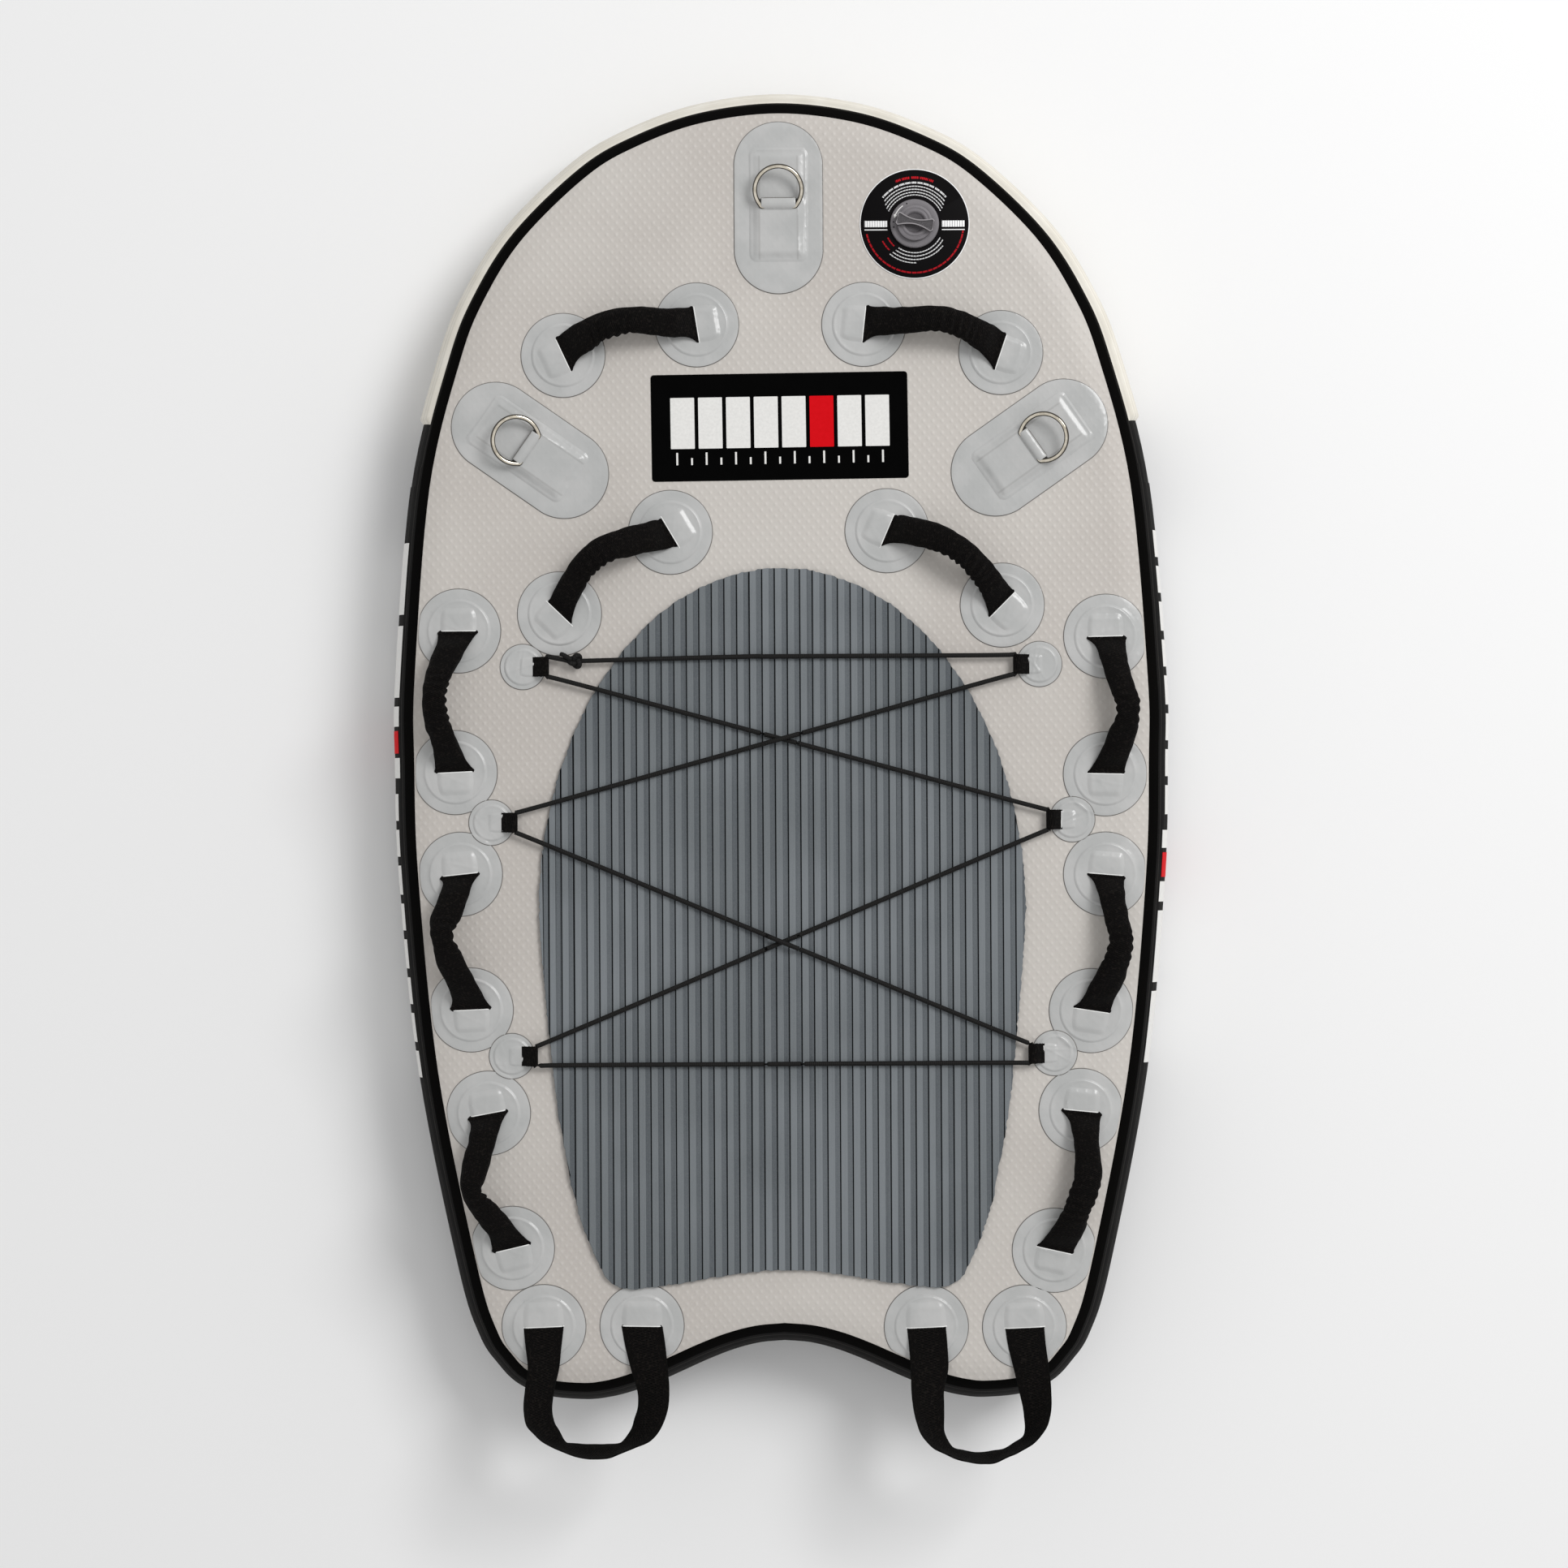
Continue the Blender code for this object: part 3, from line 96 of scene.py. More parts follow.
# %% [markdown]
# ## Hands
# An operator acts on everything that is selected, so each step first lets go of all there is.
# Inside a mesh, faces and edges are picked by where they lie, as one would with the mouse.

# %% Take a piece in hand
def let_go():
    """Leave edit mode and select nothing."""
    if bpy.context.mode != "OBJECT":
        bpy.ops.object.mode_set(mode="OBJECT")
    bpy.ops.object.select_all(action="DESELECT")


def take(*pieces):
    """Select pieces, the last one active."""
    let_go()
    for piece in pieces:
        piece.select_set(True)
    bpy.context.view_layer.objects.active = pieces[-1]
    return pieces[-1]


def named(name):
    """Give the newest piece its name."""
    piece = bpy.context.object
    piece.name = name
    piece.data.name = name
    return piece


def open_up(piece):
    """Take a piece into edit mode with all of it selected."""
    take(piece)
    bpy.ops.object.mode_set(mode="EDIT")
    bpy.ops.mesh.select_mode(type="FACE")
    bpy.ops.mesh.select_all(action="SELECT")


def pick(piece, kind, test):
    """In edit mode, select just the faces, edges or corners whose place passes a test."""
    bpy.ops.mesh.select_mode(type=kind)
    bpy.ops.mesh.select_all(action="DESELECT")
    bm = bmesh.from_edit_mesh(piece.data)
    bm.normal_update()
    found = 0
    for item in {"FACE": bm.faces, "EDGE": bm.edges, "VERT": bm.verts}[kind]:
        if test(item):
            item.select_set(True)
            found += 1
    bm.select_flush_mode()
    bmesh.update_edit_mesh(piece.data)
    return found


def middle(item):
    """Middle of a face or edge."""
    corners = [corner.co for corner in item.verts]
    return sum(corners, Vector()) / len(corners)

# %% Finish off a mesh
DOUBLED = 0.00002


def split_off(name):
    """Part the selected faces from the piece in hand, as a piece of their own."""
    before = set(bpy.data.objects)
    bpy.ops.mesh.separate(type="SELECTED")
    bpy.ops.object.mode_set(mode="OBJECT")
    part = (set(bpy.data.objects) - before).pop()
    part.name = name
    part.data.name = name
    return part


def modify(piece, kind, **settings):
    """Add a modifier and apply it."""
    take(piece)
    modifier = piece.modifiers.new(kind.lower(), kind)
    for word, value in settings.items():
        setattr(modifier, word, value)
    bpy.ops.object.modifier_apply(modifier=modifier.name)


def tidy(piece, close=True):
    """Merge doubled corners, close what is open, and turn every face outwards."""
    open_up(piece)
    bpy.ops.mesh.select_mode(type="VERT")
    bpy.ops.mesh.remove_doubles(threshold=DOUBLED)
    if close:
        bpy.ops.mesh.select_all(action="DESELECT")
        bpy.ops.mesh.select_non_manifold()
        bpy.ops.mesh.fill_holes(sides=0)
    bpy.ops.mesh.select_all(action="SELECT")
    bpy.ops.mesh.normals_make_consistent(inside=False)
    bpy.ops.object.mode_set(mode="OBJECT")


def smooth(piece, angle=35):
    """Shade a piece smooth, with a crease wherever its faces turn sharply."""
    take(piece)
    bpy.ops.object.shade_smooth_by_angle(angle=math.radians(angle))
    return piece

# %% [markdown]
# ## Shader arithmetic
# A procedural finish is mostly sums: stripes are a cosine, a print is a comparison. Writing them
# as Math nodes by hand is slow to read, so one small class wraps a node's output and lets
# Python's own signs add the nodes.

# %% Sums with sockets
def plug(socket, value):
    """Give a node's input a link, a number or a colour."""
    if isinstance(value, Flow):
        socket.id_data.links.new(value.socket, socket)
    elif hasattr(socket.default_value, "__len__") and len(socket.default_value) == 4:
        socket.default_value = (*value[:3], 1)
    else:
        socket.default_value = value


class Flow:
    """The output of a shader node, for Python's arithmetic."""

    def __init__(self, socket):
        self.socket = socket

    def maths(self, operation, *values):
        node = self.socket.id_data.nodes.new("ShaderNodeMath")
        node.operation = operation
        for place, value in enumerate(values):
            plug(node.inputs[place], value)
        return Flow(node.outputs[0])

    def __add__(self, other):
        return self.maths("ADD", self, other)

    def __sub__(self, other):
        return self.maths("SUBTRACT", self, other)

    def __rsub__(self, other):
        return self.maths("SUBTRACT", other, self)

    def __mul__(self, other):
        return self.maths("MULTIPLY", self, other)

    def __truediv__(self, other):
        return self.maths("DIVIDE", self, other)

    def __pow__(self, other):
        return self.maths("POWER", self, other)

    def __lt__(self, other):
        return self.maths("LESS_THAN", self, other)

    def __gt__(self, other):
        return self.maths("GREATER_THAN", self, other)

    def __or__(self, other):
        """Where either of two masks is."""
        return self.maths("MAXIMUM", self, other)

    __radd__ = __add__
    __rmul__ = __mul__

    def cos(self):
        return self.maths("COSINE", self)

    def waves(self, pitch):
        """A cosine whose crests lie a pitch apart."""
        return (self * (2 * math.pi / pitch)).cos()

    def size(self):
        return self.maths("ABSOLUTE", self)

    def part(self):
        """What is left over past a whole number."""
        return self.maths("FRACT", self)

    def clear_of(self, low, high):
        """Rise evenly from 0 at low to 1 at high, and no further."""
        node = self.socket.id_data.nodes.new("ShaderNodeMapRange")
        node.interpolation_type = "SMOOTHSTEP"
        for place, value in enumerate((self, low, high)):
            plug(node.inputs[place], value)
        return Flow(node.outputs[0])

    def within(self, low, high):
        """1 between two values, and 0 elsewhere."""
        return (self > low) * (self < high)


def paint(red, green, blue):
    """A colour as a picture program gives it, 0 to 255, turned into light."""
    return tuple(((c / 255 + 0.055) / 1.055) ** 2.4 if c > 10 else c / 255 / 12.92
                 for c in (red, green, blue))

# %% One finish, one node tree
class Finish:
    """A material, and the shader that all of its nodes lead to."""

    def __init__(self, name, **constants):
        self.material = bpy.data.materials.new(name)
        self.material.use_nodes = True
        self.tree = self.material.node_tree
        self.shader = self.tree.nodes["Principled BSDF"]
        for word, value in constants.items():
            self.set(word.replace("_", " "), value)
        print("finish", name)

    def set(self, word, value):
        sockets = {socket.name.lower(): socket for socket in self.shader.inputs}
        plug(sockets[word.lower()], value)

    def node(self, kind, settings, output, **values):
        node = self.tree.nodes.new("ShaderNode" + kind)
        for word, value in settings.items():
            setattr(node, word, value)
        for word, value in values.items():
            plug(node.inputs[word], value)
        return Flow(node.outputs[output])

    def place(self):
        """The point's own place, in metres, as the piece has it."""
        return self.node("TexCoord", {}, "Object")

    def axes(self, vector):
        node = self.tree.nodes.new("ShaderNodeSeparateXYZ")
        plug(node.inputs[0], vector)
        return [Flow(output) for output in node.outputs]

    def map(self):
        """Metres along and across the piece's own UV map."""
        return self.axes(self.node("TexCoord", {}, "UV"))[:2]

    def cloud(self, scale, detail=2.0):
        """Soft noise from 0 to 1, with scale blotches to the metre."""
        return self.node("TexNoise", {}, "Fac", Vector=self.place(), Scale=scale, Detail=detail)

    def blend(self, share, first, second):
        node = self.tree.nodes.new("ShaderNodeMix")
        node.data_type = "RGBA"
        for place, value in ((0, share), (6, first), (7, second)):
            plug(node.inputs[place], value)
        return Flow(node.outputs[2])

    def stored(self, name):
        """What the corners of the mesh hold under a name."""
        return self.node("Attribute", {"attribute_name": name}, "Fac")

    def relief(self, height, depth):
        """Let a height, 0 to 1, of so many metres show as bumps."""
        bump = self.tree.nodes.new("ShaderNodeBump")
        bump.inputs["Distance"].default_value = depth
        plug(bump.inputs["Height"], height)
        self.set("Normal", Flow(bump.outputs[0]))


def coat(piece, finish):
    """Give a piece its finish."""
    piece.data.materials.clear()
    piece.data.materials.append(finish.material)
    return piece

# %% [markdown]
# ## The bungee
# One 6 mm shock cord is laced through six webbing eyes and knotted to itself. Its route is fixed
# first, because a cord has a real length: a line from eye to eye, with a long low hump where one
# run crosses over another.

# %% A line to follow
def through(points, steps):
    """A smooth line through points, as a list of closer ones."""
    points = [Vector(point) for point in points]
    chain = [points[0] * 2 - points[1], *points, points[-1] * 2 - points[-2]]
    line = []
    for a, b, c, d in zip(chain, chain[1:], chain[2:], chain[3:]):
        for step in range(steps):
            t = step / steps
            line.append(0.5 * (2 * b + (c - a) * t + (2 * a - 5 * b + 4 * c - d) * t ** 2
                               + (3 * b - a - 3 * c + d) * t ** 3))
    return line + [points[-1]]


class Line:
    """A line through points that can be asked for its place and direction at a share of it."""

    def __init__(self, points):
        self.points = points
        self.marks = [0.0]
        for a, b in zip(points, points[1:]):
            self.marks.append(self.marks[-1] + (b - a).length)
        self.length = self.marks[-1]

    def step(self, share):
        """The point before a share of the line, and how far on to the next it lies."""
        goal = share * self.length
        low = min(max(0, bisect.bisect_right(self.marks, goal) - 1), len(self.marks) - 2)
        run = max(self.marks[low + 1] - self.marks[low], 1e-9)
        return low, min(1, max(0, (goal - self.marks[low]) / run))

    def at(self, share):
        low, onwards = self.step(share)
        return self.points[low].lerp(self.points[low + 1], onwards)

    def way(self, share, step=0.004):
        step /= self.length
        return (self.at(min(1, share + step)) - self.at(max(0, share - step))).normalized()

# %% Where the bungee runs
DECK = 0.150
CORD = 0.006
CORD_HEIGHT = DECK + 0.010
EYE_HALF = 0.0127
ANCHOR_SPOTS = {"fore": (0.3338, 0.1030), "centre": (0.3754, -0.0980), "aft": (0.3508, -0.4000)}
ANCHOR_SLIT = 0.0145
CORD_IN_EYE = 0.0149
EYE_CORNER = EYE_HALF - 0.0012
EYES = {row: (x - ANCHOR_SLIT - CORD_IN_EYE, y) for row, (x, y) in ANCHOR_SPOTS.items()}
KNOT_SPOT = Vector((-0.2651, 0.1101, CORD_HEIGHT))
LEGS = (
    ("fore", -1, 1, "fore", 1, 1, 0), ("fore", 1, -1, "centre", -1, 1, 1),
    ("centre", -1, -1, "aft", 1, 1, 1), ("aft", 1, -1, "aft", -1, -1, 0),
    ("aft", -1, 1, "centre", 1, -1, 0), ("centre", 1, 1, "fore", -1, -1, 0),
)


def lacing():
    """The cord's line, from one side of its knot round to the other."""
    route = []
    for start, side, out, end, far_side, back, over in LEGS:
        first = Vector((EYES[start][0] * side, EYES[start][1], CORD_HEIGHT))
        last = Vector((EYES[end][0] * far_side, EYES[end][1], CORD_HEIGHT))
        leaves = first + Vector((0, out * EYE_CORNER, 0))
        arrives = last + Vector((0, back * EYE_CORNER, 0))
        run = (arrives - leaves).normalized()
        crossing = leaves.lerp(arrives, leaves.x / (leaves.x - arrives.x))
        step = run * CORD * 4
        hump = Vector((0, 0, CORD + 0.0005)) * over
        route += [first, first + Vector((0, out * EYE_HALF * 0.6, 0)), leaves]
        route += [leaves + (run + Vector((0, out * 0.3, 0))) * 0.004, leaves + run * 0.03]
        route += [crossing - step * 2, crossing - step + hump * 0.6, crossing + hump]
        route += [crossing + step + hump * 0.6, crossing + step * 2, arrives - run * 0.03]
        route += [arrives + (Vector((0, back * 0.3, 0)) - run) * 0.004, arrives]
        route += [last + Vector((0, back * EYE_HALF * 0.6, 0))]
    ahead = [point for point in route[4:] if (point - KNOT_SPOT).length > 0.02]
    beside = Vector((0.008, 0, 0))
    return [KNOT_SPOT + beside, *ahead, *route[:4], KNOT_SPOT - beside]


cord_line = Line(through(lacing(), 6))
print("bungee", round(cord_line.length, 3), "m")

# %% [markdown]
# ## Light and floor
# Black rubber and clear plastic both need to be read, so the light is soft and even, with one
# broad lamp at the upper right that gives each grip its shadow. The floor is near white, and the
# world shows the camera and every gloss the same pale room.

# %% Set the floor and the lamp
LAMP_SPOT = (3.9, 3.3, 5.6)
LAMP_SIZE = 3.0
LAMP_POWER = 300
ROOM_LIGHT = 0.60
FLOOR_SIZE = 30

let_go()
bpy.ops.mesh.primitive_plane_add(size=FLOOR_SIZE)
floor = named("floor")
coat(floor, Finish("pale_floor", Base_Color=paint(245, 245, 245), Roughness=0.9,
                   Specular_IOR_Level=0.1))

bpy.ops.object.light_add(type="AREA", location=LAMP_SPOT)
lamp = bpy.context.object
lamp.data.size = LAMP_SIZE
lamp.data.energy = LAMP_POWER
aim = Vector((0, 0, 0.1)) - Vector(LAMP_SPOT)
lamp.rotation_euler = aim.to_track_quat("-Z", "Y").to_euler()

room = bpy.data.worlds.new("pale_room")
room.use_nodes = True
bpy.context.scene.world = room
ray = room.node_tree.nodes.new("ShaderNodeLightPath")
seen = Flow(ray.outputs["Is Camera Ray"]) + Flow(ray.outputs["Is Glossy Ray"])
seen = (seen + Flow(ray.outputs["Is Transmission Ray"])) > 0.5
background = room.node_tree.nodes["Background"]
plug(background.inputs["Color"], (0.97, 0.97, 0.97))
plug(background.inputs["Strength"], seen * (0.95 - ROOM_LIGHT) + ROOM_LIGHT)
print("lamp", LAMP_POWER, "W, room", ROOM_LIGHT)

# %% [markdown]
# ## Finish: dimpled deck
# The deck is woven drop-stitch cloth under a coat of PVC. Where the threads pull, the coat shows
# small raised dots in a diamond grid. Two crossed cosines give the dots, and low noise keeps
# the coat from looking printed. The dots' tops are also painted lighter, as a painted highlight.

# %% Dimpled deck
DOT_PITCH = (0.0120, 0.0152)


def dots(finish):
    """Small raised dots in a diamond grid, 0 to 1."""
    x, y, _ = finish.axes(finish.place())
    return ((x.waves(DOT_PITCH[0]) * y.waves(DOT_PITCH[1]) + 1) * 0.5) ** 4


deck_pvc = Finish("deck_pvc", Roughness=0.46, Specular_IOR_Level=0.3)
stain = deck_pvc.cloud(3.2, 3.0)
grain = deck_pvc.cloud(260, 2.0)
base = deck_pvc.blend(stain.clear_of(0.35, 0.68), paint(189, 183, 177), paint(199, 194, 188))
base = deck_pvc.blend(grain.clear_of(0.3, 0.8) * 0.25, base, paint(206, 202, 197))
deck_dots = dots(deck_pvc)
# Painted highlight: the dots are painted lighter than the coat around them.
deck_pvc.set("Base Color", deck_pvc.blend(deck_dots * 0.22, base, paint(222, 219, 214)))
deck_pvc.relief(deck_dots * 0.6 + deck_pvc.cloud(55, 3.0) * 0.35 + grain * 0.05, 0.0008)

# %% [markdown]
# ## Finish: black rail and seam band
# The rail is plain black PVC, dull, with a fine mould line or two along it. Black needs little
# gloss here: a bright room in a shiny black wall would turn it grey. The seam band is the same
# black PVC, painted darker than the rail as painted shade.

# %% Black rail
rail_pvc = Finish("rail_pvc", Roughness=0.6, Specular_IOR_Level=0.04)
_, _, height = rail_pvc.axes(rail_pvc.place())
lines = (height - 0.075).size().waves(0.0125).clear_of(0.72, 1.0)
scuff = rail_pvc.cloud(38, 4.0)
tone = rail_pvc.blend(scuff.clear_of(0.3, 0.8), paint(7, 6, 6), paint(16, 15, 14))
rail_pvc.set("Base Color", rail_pvc.blend(lines * 0.6, tone, paint(44, 42, 40)))
rail_pvc.relief(rail_pvc.cloud(420, 2.0) * 0.3 + lines * 0.5, 0.0006)


def two_tone(name, scale, first, second, **constants):
    """A finish that drifts between two near tones, with scale blotches to the metre."""
    finish = Finish(name, **constants)
    finish.set("Base Color", finish.blend(finish.cloud(scale, 3.0), paint(*first), paint(*second)))
    return finish


# Painted shade: the rail's black, painted darker for the seam band.
band_pvc = two_tone("band_pvc", 30, (1, 1, 1), (5, 4, 3), Roughness=0.7,
                    Specular_IOR_Level=0.02)
band_pvc.relief(band_pvc.cloud(500, 2.0), 0.0002)

# %% [markdown]
# ## The hull, from its outline
# The hull is one outline with a section swept round it, and inset does just that: fill the
# outline, then inset its face again and again, each time by a little and up by a little. The
# insets first climb the bulging rail, then roll over onto the flat deck.

# %% The outline
HALF_WIDTH = 0.5065
NOSE_REACH = 0.849
TAIL_REACH = 0.855
NOTCH_DEPTH = 0.076
LOBE_ACROSS = 0.5173
EDGE_STEPS = 1600
STATIONS = (
    (0.000, 1.000), (0.210, 0.985), (0.386, 0.948), (0.526, 0.899), (0.700, 0.799),
    (0.807, 0.700), (0.874, 0.600), (0.956, 0.402), (0.998, 0.106), (1.000, -0.023),
    (0.991, -0.201), (0.942, -0.501), (0.843, -0.800), (0.790, -0.901), (0.742, -0.945),
    (0.691, -0.975), (0.616, -0.994),
)


def hull_half():
    """The hull's left half, nose to notch."""
    half = [Vector((-across * HALF_WIDTH, along * (NOSE_REACH if along > 0 else TAIL_REACH)))
            for across, along in STATIONS]
    lobe = LOBE_ACROSS * HALF_WIDTH
    for k in range(9):
        x = lobe * (1 - k / 8)
        wave = NOTCH_DEPTH * (1 + math.cos(math.pi * x / lobe)) / 2
        half.append(Vector((-x, wave - TAIL_REACH)))
    mirrored = Vector((-half[1].x, half[1].y))
    return [point for point in through([mirrored, *half], 8)[8:] if point.x < 0.00001]


left_half = hull_half()
outline = left_half + [Vector((-point.x, point.y)) for point in reversed(left_half[1:-1])]
edge_line = Line([*outline, outline[0]])
edge_spots = [edge_line.at(k / EDGE_STEPS) for k in range(EDGE_STEPS)]
near_edge = KDTree(len(edge_spots))
for k, spot in enumerate(edge_spots):
    near_edge.insert((spot.x, spot.y, 0), k)
near_edge.balance()
print("outline", len(outline), "corners,", round(edge_line.length, 3), "m round")

# %% The section
EQUATOR = 0.075
RAIL_TOP = 0.1445
RAIL_BULGE = 0.031
ROLL_WIDTH = 0.035
RAIL_RADIUS = ((RAIL_TOP - EQUATOR) ** 2 + RAIL_BULGE ** 2) / (2 * RAIL_BULGE)
RAIL_INSETS = (0.001, 0.003, 0.0065, 0.0115, 0.018, 0.0245, 0.031)


def rail_height(inset):
    """Height over the rail's middle, so far in from its widest line."""
    return math.sqrt(max(0, RAIL_RADIUS ** 2 - (RAIL_RADIUS - inset) ** 2))


def deck_drop(x, y):
    """How far the deck lies below its flat part: it rolls down to the rail."""
    _, _, inset = near_edge.find((x, y, 0))
    share = min(1, max(0, (RAIL_BULGE + ROLL_WIDTH - inset) / ROLL_WIDTH))
    return (DECK - RAIL_TOP) * share ** 2


def filled_circle(name, corners, radius=1):
    """A filled circle: the blank for an outline or a patch."""
    let_go()
    bpy.ops.mesh.primitive_circle_add(vertices=corners, radius=radius, fill_type="NGON")
    return named(name)


section = [(inset, EQUATOR + rail_height(inset)) for inset in RAIL_INSETS]
for k in range(1, 8):
    share = k / 7
    section.append((RAIL_BULGE + ROLL_WIDTH * share, DECK - (DECK - RAIL_TOP) * (1 - share) ** 2))

hull = filled_circle("deck_and_bottom", len(outline))
for corner, spot in zip(hull.data.vertices, outline):
    corner.co = (spot.x, spot.y, EQUATOR)
open_up(hull)
was = (0, EQUATOR)
for inset, height in section:
    bpy.ops.mesh.inset(thickness=inset - was[0], depth=height - was[1])
    was = (inset, height)
bpy.ops.mesh.select_all(action="SELECT")
bpy.ops.mesh.duplicate()
bpy.ops.transform.resize(value=(1, 1, -1), center_override=(0, 0, EQUATOR))
tidy(hull, close=False)
print("hull", len(hull.data.polygons), "faces")

# %% [markdown]
# The rail, the seam band over its shoulder and the rub layer aft are parted from that same skin
# by picking faces by height, so they fit it with no gap. Solidify then gives each its wall.

# %% Part the rail, the band and the rub layer
open_up(hull)
rail_low, rail_high = 2 * EQUATOR - RAIL_TOP, RAIL_TOP
print(pick(hull, "FACE", lambda face: rail_low < middle(face).z < rail_high), "rail faces")
rail = split_off("black_rail")

SHOULDER = rail_height(0.018)
RUB_END = 0.352
TAPE_THICKNESS = 0.0011
RUB_THICKNESS = 0.0009
RAIL_WALL = 0.0018
SKIN = 0.0015


def dress(piece, finish, body="hull", stands_for=None, crease=35):
    """Smooth and coat a piece, ride it on its body, and hide the solid that it stands for."""
    if crease:
        smooth(piece, crease)
    coat(piece, finish)
    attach(piece, body)
    if stands_for:
        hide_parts(stands_for)
    return piece


def layer_of(piece, name, test, thickness):
    """A layer laid on picked faces of a piece."""
    open_up(piece)
    pick(piece, "FACE", test)
    bpy.ops.mesh.duplicate()
    layer = split_off(name)
    modify(layer, "SOLIDIFY", thickness=thickness, offset=1)
    return layer


def on_shoulder(face):
    return abs(middle(face).z - EQUATOR) > SHOULDER


def on_rub(face):
    return abs(middle(face).z - EQUATOR) < SHOULDER and middle(face).y < RUB_END


seam_band = layer_of(rail, "seam_band", on_shoulder, TAPE_THICKNESS)
rub_layer = layer_of(rail, "rub_layer", on_rub, RUB_THICKNESS)
modify(rail, "SOLIDIFY", thickness=RAIL_WALL, offset=-1)
modify(hull, "SOLIDIFY", thickness=SKIN, offset=-1)
dress(rail, rail_pvc, stands_for="side_wall")
dress(seam_band, band_pvc, stands_for="deck_seam_tape")
dress(rub_layer, rail_pvc)
print("rail", len(rail.data.polygons), "band", len(seam_band.data.polygons), "faces")

# %% [markdown]
# The valve's barrel goes down through the deck. A Boolean with a cylinder cuts its hole once the
# skin has its thickness, because a Boolean needs closed shapes.

# %% Cut the valve's hole
VALVE = Vector((0.1760, 0.6730, 0))
HOLE_RADIUS = 0.0229


def bore(piece, spot, radius, depth, corners):
    """Cut a round hole with a cylinder."""
    let_go()
    bpy.ops.mesh.primitive_cylinder_add(vertices=corners, radius=radius, depth=depth,
                                        location=spot)
    drill = named("drill")
    modify(piece, "BOOLEAN", operation="DIFFERENCE", object=drill, solver="EXACT")
    bpy.data.objects.remove(drill)


bore(hull, (VALVE.x, VALVE.y, DECK), HOLE_RADIUS, 0.02, 64)
dress(hull, deck_pvc, stands_for="drop_stitch_panel")
print("deck", len(hull.data.polygons), "faces")

# %% [markdown]
# ## The rub strip round the nose
# A ribbed strip of beige PVC takes the knocks. Its ribs run lengthwise, so a grid laid round the
# nose does it: one way follows the outline, the other way goes down over the rail with a wave.

# %% Lay a grid over a form
def wrapped(name, along, around, rule, size=(1, 1)):
    """A grid primitive laid over a form: rule(u, v), each 0 to 1, places its corners.

    Its UV map is scaled to size, the metres that it covers, so a weave keeps its scale.
    """
    let_go()
    bpy.ops.mesh.primitive_grid_add(x_subdivisions=along, y_subdivisions=around, size=1)
    piece = named(name)
    for corner in piece.data.vertices:
        corner.co = rule(corner.co.x + 0.5, corner.co.y + 0.5)
    for corner in piece.data.uv_layers[0].data:
        corner.uv = (corner.uv.x * size[0], corner.uv.y * size[1])
    return piece


def ease(x, low=0.0, high=1.0):
    """A smooth step from 0 at low to 1 at high."""
    t = min(1.0, max(0.0, (x - low) / (high - low)))
    return t * t * (3 - 2 * t)

# %% The rub strip
BUMPER_THICKNESS = 0.0056
BUMPER_HALF = 0.049
BUMPER_Y = 0.425
BUMPER_RIBS = 9
BUMPER_GRAIN = 0.1


def rail_spot(round_share, height, out):
    """A place on the rail: how far round, how high over its middle, and how far proud."""
    share = round_share % 1
    spot = edge_line.at(share)
    before = edge_line.at((share - 0.002) % 1)
    after = edge_line.at((share + 0.002) % 1)
    run = (after - before).normalized()
    outwards = Vector((run.y, -run.x))
    angle = math.asin(height / RAIL_RADIUS)
    reach = (RAIL_RADIUS + out) * math.cos(angle) - RAIL_RADIUS
    spot = spot + outwards * reach
    return Vector((spot.x, spot.y, EQUATOR + (RAIL_RADIUS + out) * math.sin(angle)))


def round_share_at(y):
    """How far round the outline, from the nose along its left side, a station lies."""
    return next(k / EDGE_STEPS for k, spot in enumerate(edge_spots) if spot.y < y)


bumper_end = round_share_at(BUMPER_Y)


def bumper_rule(u, v):
    """Across the strip and over its two edges, along it from end to end."""
    height = BUMPER_HALF * (2 * v - 1)
    near_side = min(v, 1 - v)
    near_end = min(u, 1 - u)
    rib = 0.0009 * abs(math.cos(math.pi * BUMPER_RIBS * v))
    out = (BUMPER_THICKNESS - rib) * ease(near_side, 0, 0.035) * ease(near_end, 0, 0.003)
    return rail_spot(bumper_end * (1 - 2 * u), height, out + 0.0002)


bumper = wrapped("nose_rub_strip", 260, 72, bumper_rule,
                 (2 * bumper_end * edge_line.length, BUMPER_GRAIN))
tidy(bumper, close=False)
print("rub strip", len(bumper.data.polygons), "faces, ends at", round(bumper_end, 4))

# %% Its beige PVC
bumper_pvc = Finish("bumper_pvc", Roughness=0.52, Specular_IOR_Level=0.3)
rub = bumper_pvc.cloud(24, 4.0)
_, across = bumper_pvc.map()
groove = across.waves(BUMPER_GRAIN / BUMPER_RIBS).clear_of(0.3, 1.0)
tone = bumper_pvc.blend(rub.clear_of(0.3, 0.75), paint(228, 223, 211), paint(238, 234, 224))
bumper_pvc.set("Base Color", bumper_pvc.blend((1 - groove) * 0.16, tone, paint(140, 134, 122)))
bumper_pvc.relief(bumper_pvc.cloud(380, 2.0), 0.0003)
dress(bumper, bumper_pvc, stands_for="bow_bumper", crease=50)

# %% [markdown]
# ## The foam pad
# The pad is cut from grooved foam sheet: a raised rib, a lower rib and a deep groove, over and
# over. Bisecting its outline along every line of the grooves and then extruding only the ribs
# gives them without a Boolean. The outline is a little ragged, as a knife leaves it.

# %% The pad's outline
PAD_HALF = 0.3145
PAD_NOSE = 0.2290
PAD_WIDEST = -0.2150
PAD_TAIL = -0.7010
PAD_CORNER = 0.658
PAD_NOTCH = 0.023
KNIFE_STEP = 0.0042
PAD_FOOT = 0.0003
PAD_SIDE = (
    (1.000, 0.000), (0.984, 0.160), (0.950, 0.390), (0.922, 0.545), (0.865, 0.745),
    (0.820, 0.845), (0.765, 0.930), (0.722, 0.978),
)


